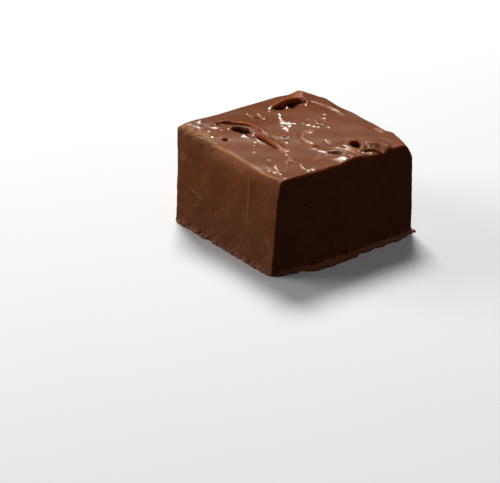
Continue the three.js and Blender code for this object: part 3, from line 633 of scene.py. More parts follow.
# How far the top falls towards the back and the right, how far in each fall starts, and how
# far the crumbly rim falls.
back_fall = profile(
    (-20, 1.2), (-16, 0.7), (-12.5, 0.3), (-4, 0.55), (5, 0.6), (10, 0.95), (13.5, 0.35),
    (17, 0.6), (20, 1),
)
right_fall = profile(
    (-20.5, 0), (-18.8, -0.6), (-17.6, -0.75), (-11.6, -0.7), (-8, -0.45), (-5.6, -0.4),
    (-4, -0.25), (-2, 0), (-0.7, -0.1), (1.6, -0.45), (3.4, -0.6), (4.6, -0.4), (5.6, 0.15),
    (7.7, 0.45), (9.2, 0.3), (10.1, 0.3), (11.3, 0.9), (12.3, -0.1), (13, -0.1), (13.8, 0.3),
    (15, 0.15), (17.3, -0.2), (18.5, 0), (20.5, 0.4),
)
right_reach = profile((-20, 9), (-4, 7), (2, 3.5), (20, 3.5))
back_reach = profile((-20, 10), (-2, 9), (6, 5), (20, 5))
rim_fall = profile((-20.6, 0.05), (-18, 0.15), (-13, 0.3), (-9, 0.15), (0, 0), (20.5, 0))

RIM_STRAY = 0.35  # share of its width by which the crumbly rim's inner line strays
RIM_STRAY_LIMIT = 0.35  # and at most this far inwards, in millimetres


def rim_share(block, x, y):
    """How far across the crumbly rim a place is: 0 at its inner line, 1 at the front side."""
    flat = np.stack([x, y, np.zeros_like(x)], axis=-1)
    ragged = RIM_STRAY * rim_band(x) * rough_noise(flat, 1.5, SEEDS["rim"], 2)
    wide = rim_band(x) + np.minimum(ragged * smoothstep(rim_band(x), 0.3, 1.5), RIM_STRAY_LIMIT)
    inner = block.front(x, np.full_like(x, block.height)) + wide
    return np.clip((inner - y) / wide, 0.0, 1.0)


def top_height(block, x, y):
    """The slow swell of the poured top, falling off to the back, the right and the front."""
    swell = np.sin(x * 0.31 + 0.8) * np.cos(y * 0.27 - 0.4) + 0.5 * np.sin(x * 0.6 - y * 0.5)
    back = back_fall(x) * smoothstep(y, block.depth / 2 - back_reach(x), block.depth / 2)
    right = right_fall(y) * smoothstep(x, block.width / 2 - right_reach(y), block.width / 2)
    front = rim_fall(x) * rim_share(block, x, y)
    return block.height + block.wave_height * swell - back - right - front


# ---- The closed skin -------------------------------------------------------------------

RIM_BAND = 2.2  # millimetres from an edge that are divided more finely
RIM_STEPS = 12
TOP_STEPS = 180  # across the top between its two rim bands
SIDE_STEPS = 44  # down a side between the rim band and the foot
FOOT_STEPS = 8
FOOT_BAND = 1.2  # the foot is divided more finely up to this many thicknesses of the smear
FOOT_FADE = 1.8  # the foot's finish is gone at this many thicknesses
FOOT_CRUMBLE = 1.8  # how much crumblier the foot is than the rim


def skin_points(block, across, along, down):
    """Where places on the plain block lie on the fudge.

    across and along run from 0 to 1, down is millimetres from the top. Near an edge a place is
    pulled on to a quarter circle between the two faces; then it is set between the wandering
    sides, raised to the top's own height, and stirred if it is on the top.

    The masks, from 0 to 1, say where the finish changes:
    poured, bloom, scratch: the poured top; its paler part, partly bloom and partly painted
        sheen; and pale marks, partly scratches and partly painted highlights
    glow, dull, deep: painted glow on thin lips, torn lips, and painted shade in the
        bottoms of hollows
    rim, shade: the crumbly rim, and its outer half painted browner as painted shade
    upper, edge: the front side just below the rim, and a pale line painted along the
        knife-cut edges round the top as painted highlight
    """
    x0 = (across - 0.5) * block.width
    y0 = (along - 0.5) * block.depth
    radius = block.rounding(x0, y0, block.height - down)
    in_x = np.maximum(0.0, radius - np.minimum(across, 1 - across) * block.width)
    in_y = np.maximum(0.0, radius - np.minimum(along, 1 - along) * block.depth)
    in_z = np.maximum(0.0, radius - down)
    reach = np.sqrt(in_x**2 + in_y**2 + in_z**2)
    pull = np.where(reach > 0, radius / np.maximum(reach, 1e-9), 1.0)
    far_x, far_y = (across > 0.5), (along > 0.5)
    u = np.where(in_x > 0, np.abs(far_x - (radius - in_x * pull) / block.width), across)
    v = np.where(in_y > 0, np.abs(far_y - (radius - in_y * pull) / block.depth), along)
    z = block.height - np.where(in_z > 0, radius - in_z * pull, down)

    x = blend(block.left(y0, z), block.right(y0, z), u)
    y = blend(block.front(x0, z), block.back(x0, z), v)
    felt = smoothstep(z, block.height - block.stir_fade, block.height - block.edge_radius)
    move, glow, dull, pale = stir(block, x, y)
    high = z / block.height * top_height(block, x, y)
    points = np.stack([x, y, high], axis=-1) + move * felt[..., None]
    upward = np.where(in_z > 0, in_z * pull / radius, 0.0)
    share = rim_share(block, x, y)
    near_top = smoothstep(z, block.height - 3.5, block.height - 0.4)
    broad = smoothstep(rim_band(x), 0.4, 1.2) * (y < 0)

    # Painted glow along the edge of the right side, in patches: an orange in place of light
    # coming through the edge where it is thin.
    near_edge = smoothstep(z, block.height - 1.5, block.height - 0.4)
    thin = bell(upward - 0.4, 0.22) * near_top + 0.6 * near_edge * (1.0 - upward)
    thin *= smoothstep(x, 18.6, 19.6) * smoothstep(y, -20.0, -18.0)
    thin *= 0.65 + 0.35 * soft_noise(points, 1.8, SEEDS["thin edge"])
    glow = np.maximum(glow * felt, thin)

    # A pale line is painted along the knife-cut edges, a painted highlight where they catch the
    # light; it is narrower and higher up on the right.
    lit_edge = smoothstep(x, 18.0, 19.5)
    painted_edge_highlight = bell(upward - 0.6 - 0.13 * lit_edge, 0.24 - 0.1 * lit_edge)
    below_rim = (1.0 - smoothstep(v, 0.0, 0.03)) * (1.0 - smoothstep(upward, 0.4, 0.9))
    masks = {
        "poured": smoothstep(upward, 0.55, 0.9) * (1.0 - smoothstep(share, 0.0, 0.15) * broad),
        "deep": smoothstep(-move[..., 2], 0.15, 0.9) * felt,
        "glow": np.minimum(glow, 1.0),
        "dull": np.minimum(dull * felt, 1.0),
        "rim": smoothstep(share, 0.0, 0.12) * broad * smoothstep(upward, 0.15, 0.6),
        "shade": smoothstep(share, 0.25, 0.9) * broad * near_top,
        "sheen_and_bloom": sheen_and_bloom_over(x, y),
        "scratch": pale * felt * (0.75 + 0.25 * soft_noise(points, 0.6, SEEDS["scratches"])),
        "upper": near_top * below_rim,
        "edge": painted_edge_highlight * near_top * (1.0 - broad),
    }
    return points, masks


# Scuffs of the front side, as paths of (x, z, strength).
SCUFFS = [
    [(-18.6, 17, 0), (-18.2, 18.2, 1), (-17.4, 19.2, 1), (-16.4, 19.8, 0)],
    [(-17.8, 16.4, 0), (-17.3, 17.6, 1), (-16.4, 18.6, 1), (-15.4, 19, 0)],
    [(-14.6, 17.4, 0), (-14.2, 18.6, 0.8), (-14.4, 19.8, 0)],
    [(8.6, 22.6, 0), (9, 20.6, 0.7), (8.8, 17.6, 0.8), (8.2, 14, 1), (8.2, 11.6, 1), (9, 9.4, 0)],
    [(6.4, 14.6, 0), (6.8, 12.6, 0.8), (7.4, 10.8, 0.8), (7.2, 9.6, 0)],
    [(14.8, 10.4, 0), (15.6, 8.6, 0.8), (16.8, 7.4, 0.8), (17.6, 5.4, 0)],
    [(-16.8, 12, 0), (-13.8, 10.8, 0.6), (-10.6, 10.2, 0.6), (-8, 9.6, 0)],
    [(-2.6, 10.6, 0), (0, 10, 0.6), (2.4, 10.4, 0)],
]
SCUFF_WIDTH = 0.3


def scuffs(points, raw):
    """Where the knife scuffed the front side: a bell across each path, broken up by noise.

    raw is 1 where a cut side is bare and 0 on the poured top.
    """
    total = np.zeros(len(points))
    x, z = points[:, 0], points[:, 2]
    front = raw * (points[:, 1] < -17.0)
    for path in SCUFFS:
        offset, strength, _, _ = nearest_on(chain_of(path), x, z)
        total = np.maximum(total, strength * bell(offset, SCUFF_WIDTH))
    return total * front * (0.6 + 0.4 * soft_noise(points, 0.5, SEEDS["scuffs"]))


def sheen_and_bloom_over(x, y):
    """Where the top is paler, partly bloom and partly painted sheen: all but the back left, half
    at the front left.

    Smooth steps to the left and to the back, each strayed by a millimetre or so of noise.
    """
    flat = np.stack([x, y, np.zeros_like(x)], axis=-1)
    sideways = 1.5 * soft_noise(flat, 4.0, SEEDS["bloom sideways"])
    bare = smoothstep(-x + 0.15 * y + sideways, 4.5, 10.5)
    from_front = y + 1.5 * soft_noise(flat, 3.0, SEEDS["bloom from the front"])
    front_left = 0.5 * smoothstep(-x, 6.0, 12.0) * smoothstep(from_front, -17.0, -11.0)
    return 1.0 - bare * blend(front_left, 1.0, smoothstep(from_front, -8.5, -3.5))


def grid_lines(size):
    """Places from 0 to 1 across the block, closer together within the rim band."""
    rim = np.linspace(0.0, RIM_BAND, RIM_STEPS + 1)
    middle = np.linspace(RIM_BAND, size - RIM_BAND, TOP_STEPS + 1)[1:-1]
    return np.concatenate([rim, middle, size - rim[::-1]]) / size


def skin(block):
    """The square's vertices, faces and masks: a grid over the top, rings down the sides.

    The top grid's border is the first ring, and one face closes the underside.
    """
    columns, rows = grid_lines(block.width), grid_lines(block.depth)
    last = len(columns) - 1
    foot = block.height - FOOT_BAND * block.foot_height
    downs = np.concatenate([
        np.linspace(0.0, RIM_BAND, RIM_STEPS + 1)[1:],
        np.linspace(RIM_BAND, foot, SIDE_STEPS + 1)[1:],
        np.linspace(foot, block.height, FOOT_STEPS + 1)[1:],
    ])

    across, along = np.meshgrid(columns, rows)
    top, top_masks = skin_points(block, across, along, np.zeros_like(across))
    index = np.arange(across.size).reshape(across.shape)
    top_faces = np.stack([index[:-1, :-1], index[:-1, 1:], index[1:, 1:], index[1:, :-1]], -1)

    ahead, back = np.arange(last), np.arange(last, 0, -1)
    i = np.concatenate([ahead, np.full(last, last), back, np.zeros(last, int)])
    j = np.concatenate([np.zeros(last, int), ahead, np.full(last, last), back])
    ring_down, ring_across = np.meshgrid(downs, columns[i], indexing="ij")
    ring_along = np.broadcast_to(rows[j], ring_down.shape)
    side, side_masks = skin_points(block, ring_across, ring_along, ring_down)

    below = across.size + np.arange(ring_down.size).reshape(ring_down.shape)
    rings = np.vstack([index[j, i], below])
    onward = np.roll(rings, -1, axis=1)
    side_faces = np.stack([rings[1:], onward[1:], onward[:-1], rings[:-1]], -1)

    points = np.vstack([top.reshape(-1, 3), side.reshape(-1, 3)]) + SETTING_OUT
    faces = [*top_faces.reshape(-1, 4).tolist(), *side_faces.reshape(-1, 4).tolist()]
    faces.append(rings[-1][::-1].tolist())
    masks = {
        key: np.concatenate([top_masks[key].ravel(), side_masks[key].ravel()])
        for key in top_masks
    }
    return points, faces, masks


def near_foot(block, points):
    """How far a place has the foot's finish: 1 up to the smear's thickness, then a smooth fall."""
    return 1.0 - smoothstep(points[:, 2], block.foot_height, FOOT_FADE * block.foot_height)


def low_masks(block, points, poured):
    """The masks of the cut sides, from smooth steps.

    foot: the smear painted paler as painted light, fainter on the right side towards its front
    low: the greyer part, gone at 14 mm up and fainter on the right side
    scuff: the scuffs of the front side
    """
    right = smoothstep(points[:, 0], 17.0, 19.5)
    far = smoothstep(points[:, 1], 0.0, 14.0)
    return {
        "foot": near_foot(block, points) * blend(0.2, 0.04 + 0.34 * far, right),
        "low": (1.0 - smoothstep(points[:, 2], 5.0, 14.0)) * (1.0 - 0.6 * right),
        "scuff": scuffs(points, 1.0 - poured),
    }


def fine_relief(block, points, masks):
    """How far each point is lifted along its normal: two sizes of rough noise.

    The larger is the grain of the cut sides, stronger low down. The smaller is the crumbs of
    the rim and the foot.
    """
    raw = 1.0 - masks["poured"]
    grain = block.grain_height * rough_noise(points, 1.6, SEEDS["side grain"], 2)
    crumbs = block.crumb_height * rough_noise(points, 0.8, SEEDS["side crumbs"], 2)
    crumbly = masks["rim"] + FOOT_CRUMBLE * near_foot(block, points) * raw
    return grain * raw * (1.0 + masks["low"]) + crumbs * crumbly


# ---- The clinging crumbs ---------------------------------------------------------------

CRUMB_RINGS = 4
CRUMB_SPOKES = 7

# Place by place: how many crumbs, their size in millimetres, their paleness, and the ranges
# that they are strewn over.
CRUMBS = {
    "rim": (260, 0.15, 0.45, (-18.8, -6.5), (0.0, 0.95)),  # x, share of the rim's width
    "below the rim": (150, 0.1, 0.2, (-16.0, 6.0), (22.6, 24.6)),  # x, z
    "front edge": (40, 0.12, 0.5, (-6.5, 19.5)),  # x
    "back left corner": (40, 0.22, 0.35, (-19.8, -17.4), (15.4, 18.8)),  # x, y
    "right tear": (76, 0.19, 1.0),  # in heaps
    "right foot": (90, 0.2, 0.1, (-16.5, 19.0), (0.3, 0.7)),  # y, z
    "front foot": (60, 0.17, 0.15, (-19.0, 17.5), (0.15, 0.7)),  # x, z
}
HEAPS = [(16.2, 9.8, 34), (19.6, 6.7, 26), (16.0, 7.2, 16)]  # in the right tear: x, y, how many
HEAP_SPREAD = (0.75, 0.5)  # in X and in Y
HEAP_LIMIT = 20.2  # no crumb of them lies further right than this
FOOT_LEVEL = 0.3  # the height at which the foot's outline is taken for its crumbs


def crumb_heap(places, sizes, seed):
    """Many small crumbs: spheres with each point pushed in or out, squashed and turned at random.

    A crumb is a ball of CRUMB_RINGS rings of CRUMB_SPOKES points between two poles.
    """
    chance = np.random.default_rng(seed)
    polar = np.linspace(0.0, np.pi, CRUMB_RINGS + 2)[1:-1]
    turn = np.linspace(0.0, 2.0 * np.pi, CRUMB_SPOKES, endpoint=False)
    polar, turn = np.meshgrid(polar, turn, indexing="ij")
    round_x, round_y = np.sin(polar) * np.cos(turn), np.sin(polar) * np.sin(turn)
    ball = np.stack([round_x, round_y, np.cos(polar)], -1).reshape(-1, 3)
    ball = np.vstack([[(0.0, 0.0, 1.0)], ball, [(0.0, 0.0, -1.0)]])
    count, many = len(ball), len(places)
    squash = chance.uniform(0.6, 1.25, (many, 1, 3))
    rough = chance.uniform(0.78, 1.22, (many, count, 1))
    axes = np.linalg.qr(chance.normal(size=(many, 3, 3)))[0]
    axes *= np.sign(np.linalg.det(axes))[:, None, None]
    points = (ball * rough * squash) @ axes * np.reshape(sizes, (-1, 1, 1)) + places[:, None, :]

    around = np.arange(CRUMB_SPOKES)
    onward = (around + 1) % CRUMB_SPOKES
    first = 1 + CRUMB_SPOKES * np.arange(CRUMB_RINGS - 1)[:, None]
    second = first + CRUMB_SPOKES
    quads = np.stack([first + around, second + around, second + onward, first + onward], -1)
    lowest = count - 1 - CRUMB_SPOKES
    top = np.stack([np.zeros_like(around), 1 + around, 1 + onward], -1)
    foot = np.stack([np.full_like(around, count - 1), lowest + onward, lowest + around], -1)
    starts = count * np.arange(many)[:, None, None]
    faces = (starts + quads.reshape(-1, 4)).reshape(-1, 4).tolist()
    faces += (starts + top).reshape(-1, 3).tolist()
    faces += (starts + foot).reshape(-1, 3).tolist()
    return points.reshape(-1, 3), faces


def on_top(block, x, y):
    """Places on the stirred top, in the piece's own frame."""
    move = stir(block, x, y)[0]
    return np.stack([x, y, top_height(block, x, y)], -1) + move + SETTING_OUT


def strewn(chance, place):
    """Even draws over a place's ranges, one range after the other."""
    many, _, _, *ranges = CRUMBS[place]
    return [chance.uniform(low, high, many) for low, high in ranges]


def crumb_places(block, chance):
    """Where crumbs cling, their sizes and their paleness, in the order of CRUMBS.

    Crumbs are strewn evenly over a strip of the surface and sunk into it a little; those of
    the right tear lie in heaps, spread as a normal curve.
    """
    x, share = strewn(chance, "rim")
    y = block.front(x, block.height) + 0.25 + rim_band(x) * share
    rim = on_top(block, x, y) - (0, 0, 0.05)
    x, z = strewn(chance, "below the rim")
    below = np.stack([x, block.front(x, z) + 0.05, z], -1) + SETTING_OUT
    (x,) = strewn(chance, "front edge")
    line = on_top(block, x, block.front(x, block.height) + 0.3) - (0, 0, 0.15)
    corner = on_top(block, *strewn(chance, "back left corner"))
    centres = np.array(HEAPS)
    centre = np.repeat(centres[:, :2], centres[:, 2].astype(int), axis=0)
    around = chance.normal(size=centre.shape) * HEAP_SPREAD + centre
    tear = on_top(block, np.minimum(around[:, 0], HEAP_LIMIT), around[:, 1])
    y, z = strewn(chance, "right foot")
    flange = np.stack([block.right(y, FOOT_LEVEL) - 0.3, y, z], -1) + SETTING_OUT
    x, z = strewn(chance, "front foot")
    front = np.stack([x, block.front(x, FOOT_LEVEL) + 0.1, z], -1) + SETTING_OUT
    places = np.vstack([rim, below, line, corner, tear, flange, front])
    sizes = [size * chance.uniform(0.5, 1.2, many) for many, size, *_ in CRUMBS.values()]
    pale = [np.full(many, share) for many, _, share, *_ in CRUMBS.values()]
    return places, np.concatenate(sizes), np.concatenate(pale)


# ---- Meshes and materials --------------------------------------------------------------


def new_object(name, points, faces, masks=None):
    """A smooth-shaded mesh object from millimetre points, with a float attribute per mask."""
    mesh = bpy.data.meshes.new(name)
    mesh.from_pydata((np.asarray(points) * MM).tolist(), [], faces)
    mesh.shade_smooth()
    for mask, values in (masks or {}).items():
        layer = mesh.attributes.new(mask, "FLOAT", "POINT")
        layer.data.foreach_set("value", np.asarray(values, np.float32))
    mesh.update()
    made = bpy.data.objects.new(name, mesh)
    bpy.context.scene.collection.objects.link(made)
    return made


def normals_of(made):
    """The mesh's vertex normals, one row for each vertex."""
    normals = np.zeros(len(made.data.vertices) * 3, np.float32)
    made.data.vertex_normals.foreach_get("vector", normals)
    return normals.reshape(-1, 3).astype(float)


def move_points(made, points):
    """Writes new millimetre points into the mesh."""
    made.data.vertices.foreach_set("co", (points * MM).astype(np.float32).ravel())
    made.data.update()


def node(tree, kind, **values):
    """A shader node with its settings, and its inputs by name with spaces as underscores."""
    made = tree.nodes.new(kind)
    for key, value in values.items():
        if hasattr(made, key):
            setattr(made, key, value)
        else:
            made.inputs[key.replace("_", " ")].default_value = value
    return made


def feed(tree, value, socket):
    """Links an input to a socket, or sets it to a number or a colour."""
    if isinstance(value, bpy.types.NodeSocket):
        tree.links.new(value, socket)
    else:
        socket.default_value = value


def mix_colour(tree, share, low, high):
    """A Mix node between two colours, each a socket or a value; returns its result socket."""
    made = tree.nodes.new("ShaderNodeMix")
    made.data_type = "RGBA"
    for place, value in ((0, share), (6, low), (7, high)):
        feed(tree, value, made.inputs[place])
    return made.outputs[2]


def maths(tree, operation, first, second=0.0, third=0.0):
    """A Math node on sockets or numbers; returns its result socket."""
    made = tree.nodes.new("ShaderNodeMath")
    made.operation = operation
    for socket, value in zip(made.inputs, (first, second, third)):
        feed(tree, value, socket)
    return made.outputs[0]


def painted(tree, under, layers):
    """Colours laid one over another: for each a mask, the most that it covers, its colour."""
    for mask, most, colour in layers:
        under = mix_colour(tree, maths(tree, "MULTIPLY", mask, most), under, colour)
    return under


def remap(tree, value, low, high, to_low=0.0, to_high=1.0):
    """A smooth Map Range of a socket; returns its result socket."""
    made = tree.nodes.new("ShaderNodeMapRange")
    made.interpolation_type = "SMOOTHSTEP"
    tree.links.new(value, made.inputs[0])
    for socket, number in zip(made.inputs[1:5], (low, high, to_low, to_high)):
        socket.default_value = number
    return made.outputs[0]


def group_tree(name, inputs, outputs):
    """An empty shader node group with named inputs and outputs, and its two end nodes."""
    tree = bpy.data.node_groups.new(name, "ShaderNodeTree")
    for label, kind, value in inputs:
        socket = tree.interface.new_socket(label, in_out="INPUT", socket_type=kind)
        if value is not None:
            socket.default_value = value
    for label, kind in outputs:
        tree.interface.new_socket(label, in_out="OUTPUT", socket_type=kind)
    return tree, tree.nodes.new("NodeGroupInput"), tree.nodes.new("NodeGroupOutput")


FLECK_SHARE, VOID_SHARE = 0.14, 0.1  # of the grain's cells


def sugar_grain_group():
    """Sugar grain: fine crystals, scattered pale flecks and small voids, at a size in mm.

    The height is a fine noise, higher by 1 at a fleck and lower by 1 at a void. Flecks and
    voids are the middles of cells 2.2 grains wide, picked by the cell's own random number.
    """
    name = "Sugar grain"
    if name in bpy.data.node_groups:
        return bpy.data.node_groups[name]
    tree, start, end = group_tree(
        name,
        [("Vector", "NodeSocketVector", None), ("Grain size", "NodeSocketFloat", 0.35)],
        [(output, "NodeSocketFloat") for output in ("Height", "Flecks", "Voids")],
    )
    scale = maths(tree, "DIVIDE", 1.0, start.outputs["Grain size"])
    fine = node(tree, "ShaderNodeTexNoise", Detail=3.0, Roughness=0.6)
    tree.links.new(start.outputs["Vector"], fine.inputs["Vector"])
    tree.links.new(scale, fine.inputs["Scale"])
    cells = node(tree, "ShaderNodeTexVoronoi")
    tree.links.new(start.outputs["Vector"], cells.inputs["Vector"])
    tree.links.new(maths(tree, "MULTIPLY", scale, 0.45), cells.inputs["Scale"])
    pick = node(tree, "ShaderNodeSeparateColor")
    tree.links.new(cells.outputs["Color"], pick.inputs["Color"])
    near = remap(tree, cells.outputs["Distance"], 0.36, 0.16)
    is_fleck = maths(tree, "GREATER_THAN", pick.outputs[0], 1.0 - FLECK_SHARE)
    is_void = maths(tree, "LESS_THAN", pick.outputs[0], VOID_SHARE)
    flecks = maths(tree, "MULTIPLY", near, is_fleck)
    voids = maths(tree, "MULTIPLY", near, is_void)
    height = maths(tree, "SUBTRACT", maths(tree, "ADD", fine.outputs["Fac"], flecks), voids)
    tree.links.new(height, end.inputs["Height"])
    tree.links.new(flecks, end.inputs["Flecks"])
    tree.links.new(voids, end.inputs["Voids"])
    return tree


def mottle_group():
    """Mottle: broad soft patches with a finer cloud over them, from 0 to 1."""
    name = "Mottle"
    if name in bpy.data.node_groups:
        return bpy.data.node_groups[name]
    tree, start, end = group_tree(
        name,
        [("Vector", "NodeSocketVector", None), ("Patch size", "NodeSocketFloat", 8.0)],
        [("Patches", "NodeSocketFloat")],
    )
    scale = maths(tree, "DIVIDE", 1.0, start.outputs["Patch size"])
    broad = node(tree, "ShaderNodeTexNoise", Detail=4.0, Roughness=0.55, Distortion=0.4)
    tree.links.new(start.outputs["Vector"], broad.inputs["Vector"])
    tree.links.new(scale, broad.inputs["Scale"])
    tree.links.new(remap(tree, broad.outputs["Fac"], 0.32, 0.68), end.inputs["Patches"])
    return tree


def use_group(tree, group, vector, **values):
    """Places a node group, fed with a vector and its own values."""
    made = tree.nodes.new("ShaderNodeGroup")
    made.node_tree = group
    tree.links.new(vector, made.inputs["Vector"])
    for key, value in values.items():
        made.inputs[key.replace("_", " ")].default_value = value
    return made


def millimetres(tree):
    """Object coordinates in millimetres."""
    where = tree.nodes.new("ShaderNodeTexCoord")
    scaled = node(tree, "ShaderNodeMapping")
    scaled.inputs["Scale"].default_value = (1000.0, 1000.0, 1000.0)
    tree.links.new(where.outputs["Object"], scaled.inputs["Vector"])
    return scaled.outputs["Vector"]


def mask_of(tree, name):
    """The piece's own mask of that name."""
    made = tree.nodes.new("ShaderNodeAttribute")
    made.attribute_name = name
    return made.outputs["Fac"]


def rgba(colour):
    """A colour property as four numbers."""
    return (*colour, 1.0)


def patches(tree, where, size):
    """Mottled patches of a size in mm, from 0 to 1."""
    return use_group(tree, mottle_group(), where, Patch_size=size).outputs["Patches"]


# The masks that the fudge's finish reads, in the order in which it names them.
FUDGE_MASKS = (
    "poured", "glow", "deep", "dull", "rim", "upper", "shade", "edge", "low", "foot", "scuff",
    "sheen_and_bloom", "scratch",
)
BARE_GLOSS = 0.07  # how much smoother the top is where no bloom lies
DULL_ROUGHNESS = 0.2  # how much rougher a torn lip is
SHINE_LEFT = 0.12  # share of the top's gloss that is left in hollows, on torn lips and on edges
RELIEF_HEIGHT = 0.00008  # metres of the finest relief
SCATTER_COLOUR = (1.0, 0.32, 0.12)  # how far red, green and blue light scatter, as shares
COAT_ROUGHNESS = 0.18  # of the sharper gloss


def fudge_material(finish):
    """The fudge: a glossy poured top, matt grainy cut sides, a tan rim and painted glow on lips."""
    material = bpy.data.materials.new("fudge_finish")
    material.use_nodes = True
    tree = material.node_tree
    shader = tree.nodes["Principled BSDF"]
    where = millimetres(tree)
    poured, glow, deep, dull, rim, upper, shade, edge, low, foot, scuff, sheen_and_bloom, scratch = (
        mask_of(tree, name) for name in FUDGE_MASKS
    )
    grain = use_group(tree, sugar_grain_group(), where, Grain_size=0.3)
    broad, blotch = patches(tree, where, 7.0), patches(tree, where, 1.3)

    top = mix_colour(tree, broad, rgba(finish.top_dark), rgba(finish.top_light))
    # Where the bloom mask is low the top is darker; the paler rest is partly painted sheen.
    top = mix_colour(tree, sheen_and_bloom, rgba(finish.top_bare), top)

    # Flecks and voids come in clusters, and more often low down.
    often = maths(tree, "MULTIPLY_ADD", low, 0.6, 0.3)
    often = maths(tree, "MULTIPLY", patches(tree, where, 5.0), often)
    cut = mix_colour(tree, broad, rgba(finish.cut_dark), rgba(finish.cut_light))
    cut = painted(tree, cut, [
        (low, 0.55, rgba(finish.low)),
        (patches(tree, where, 3.0), 0.25, rgba(finish.cut_dark)),
        (grain.outputs["Flecks"], often, rgba(finish.fleck)),
        # painted shade in the grain's small voids
        (grain.outputs["Voids"], often, rgba(finish.pit)),
        (scuff, 1.0, rgba(finish.fleck)),
        (upper, 0.25, rgba(finish.rim)),
        (blotch, maths(tree, "MULTIPLY", low, 0.09), rgba(finish.fleck)),
        # painted light on the smear at the foot
        (foot, maths(tree, "MULTIPLY_ADD", blotch, 0.6, 0.4), rgba(finish.smear)),
    ])
    crumbly = remap(tree, grain.outputs["Height"], 0.25, 0.7, 0.55, 1.0)
    # The rim's outer half is painted browner: painted shade where it turns down out of the light.
    dry = mix_colour(tree, shade, rgba(finish.rim), rgba(finish.rim_shade))
    colour = painted(tree, mix_colour(tree, poured, cut, top), [
        (rim, crumbly, dry),
        # painted highlight along the knife-cut edges
        (edge, 0.8, rgba(finish.edge)),
        # pale marks: scratches, and painted highlights on streaks and beads
        (scratch, 0.8, rgba(finish.scratch)),
        (dull, 0.5, rgba(finish.torn)),
        # painted glow on thin lips, in place of light coming through them
        (glow, 0.85, rgba(finish.glow)),
        # painted shade in the bottoms of hollows
        (deep, 0.92, rgba(finish.pit)),
    ])
    tree.links.new(colour, shader.inputs["Base Color"])

    bare = finish.top_roughness - BARE_GLOSS
    gloss = remap(tree, sheen_and_bloom, 0.0, 1.0, bare, finish.top_roughness)
    gloss = maths(tree, "MULTIPLY_ADD", dull, DULL_ROUGHNESS, gloss)
    rough = tree.nodes.new("ShaderNodeMix")
    for place, value in ((0, poured), (2, finish.cut_roughness), (3, gloss)):
        feed(tree, value, rough.inputs[place])
    tree.links.new(rough.outputs[0], shader.inputs["Roughness"])

    # The finest relief: grain on the cut sides, a slow ripple on the top, fibres on torn lips.
    ripple = node(tree, "ShaderNodeTexNoise", Scale=0.9, Detail=3.0)
    fibre = node(tree, "ShaderNodeTexNoise", Scale=2.6, Detail=4.0, Roughness=0.65)
    raw = maths(tree, "SUBTRACT", 1.0, poured)
    height = maths(tree, "MULTIPLY", grain.outputs["Height"], raw)
    for noise, mask, most in ((ripple, poured, 0.8), (fibre, dull, 2.5)):
        tree.links.new(where, noise.inputs["Vector"])
        share = maths(tree, "MULTIPLY", mask, most)
        height = maths(tree, "MULTIPLY_ADD", noise.outputs["Fac"], share, height)
    bump = node(tree, "ShaderNodeBump", Strength=0.5, Distance=RELIEF_HEIGHT)
    tree.links.new(height, bump.inputs["Height"])
    tree.links.new(bump.outputs["Normal"], shader.inputs["Normal"])

    shut = deep
    for mask in (glow, dull, edge):
        shut = maths(tree, "MAXIMUM", shut, mask)
    open_top = maths(tree, "MULTIPLY", poured, remap(tree, shut, 0.0, 1.0, 1.0, SHINE_LEFT))
    shine = remap(tree, open_top, 0.0, 1.0, 0.1, 0.5)
    tree.links.new(shine, shader.inputs["Specular IOR Level"])
    shader.inputs["Subsurface Weight"].default_value = finish.scatter
    shader.inputs["Subsurface Radius"].default_value = SCATTER_COLOUR
    shader.inputs["Subsurface Scale"].default_value = finish.scatter_depth
    shader.inputs["Coat Roughness"].default_value = COAT_ROUGHNESS
    tree.links.new(maths(tree, "MULTIPLY", open_top, finish.coat), shader.inputs["Coat Weight"])
    return material


def crumb_material(finish):
    """Dry crumbs, from tan to the brown of the cut sides."""
    material = bpy.data.materials.new("crumb_finish")
    material.use_nodes = True
    tree = material.node_tree
    shader = tree.nodes["Principled BSDF"]
    mottle = patches(tree, millimetres(tree), 0.9)
    tan = mix_colour(tree, mottle, rgba(finish.rim_shade), rgba(finish.rim))
    colour = mix_colour(tree, mask_of(tree, "pale"), tan, rgba(finish.crumb))
    tree.links.new(colour, shader.inputs["Base Color"])
    shader.inputs["Roughness"].default_value = 0.7
    shader.inputs["Specular IOR Level"].default_value = 0.25
    return material


def floor_material(stage):
    """Matt paper with the faintest cloud in it."""
    material = bpy.data.materials.new("floor_paper")
    material.use_nodes = True
    tree = material.node_tree
    shader = tree.nodes["Principled BSDF"]
    cloud = node(tree, "ShaderNodeTexNoise", Scale=0.02, Detail=2.0)
    tree.links.new(millimetres(tree), cloud.inputs["Vector"])
    pale = rgba(stage.floor)
    paler = tuple(min(1.0, part * 1.02) for part in pale)
    colour = mix_colour(tree, cloud.outputs["Fac"], pale, paler)
    tree.links.new(colour, shader.inputs["Base Color"])
    shader.inputs["Roughness"].default_value = 0.9
    shader.inputs["Specular IOR Level"].default_value = 0.2
    return material


# ---- Properties ------------------------------------------------------------------------


def length(name, description, default):
    """A length property in metres."""
    return bpy.props.FloatProperty(
        name=name, description=description, default=default, min=0.0, unit="LENGTH", precision=5
    )


def factor(name, description, default):
    """A property from 0 to 1."""
    return bpy.props.FloatProperty(
        name=name, description=description, default=default, min=0.0, max=1.0, subtype="FACTOR"
    )


def angle(name, description, degrees):
    """An angle property, from its default in degrees."""
    return bpy.props.FloatProperty(
        name=name, description=description, default=math.radians(degrees), subtype="ANGLE"
    )


def tint(name, description, default):
    """A colour property, scene-linear."""
    return bpy.props.FloatVectorProperty(
        name=name, description=description, default=default, size=3, min=0.0, max=1.0,
        subtype="COLOR",
    )


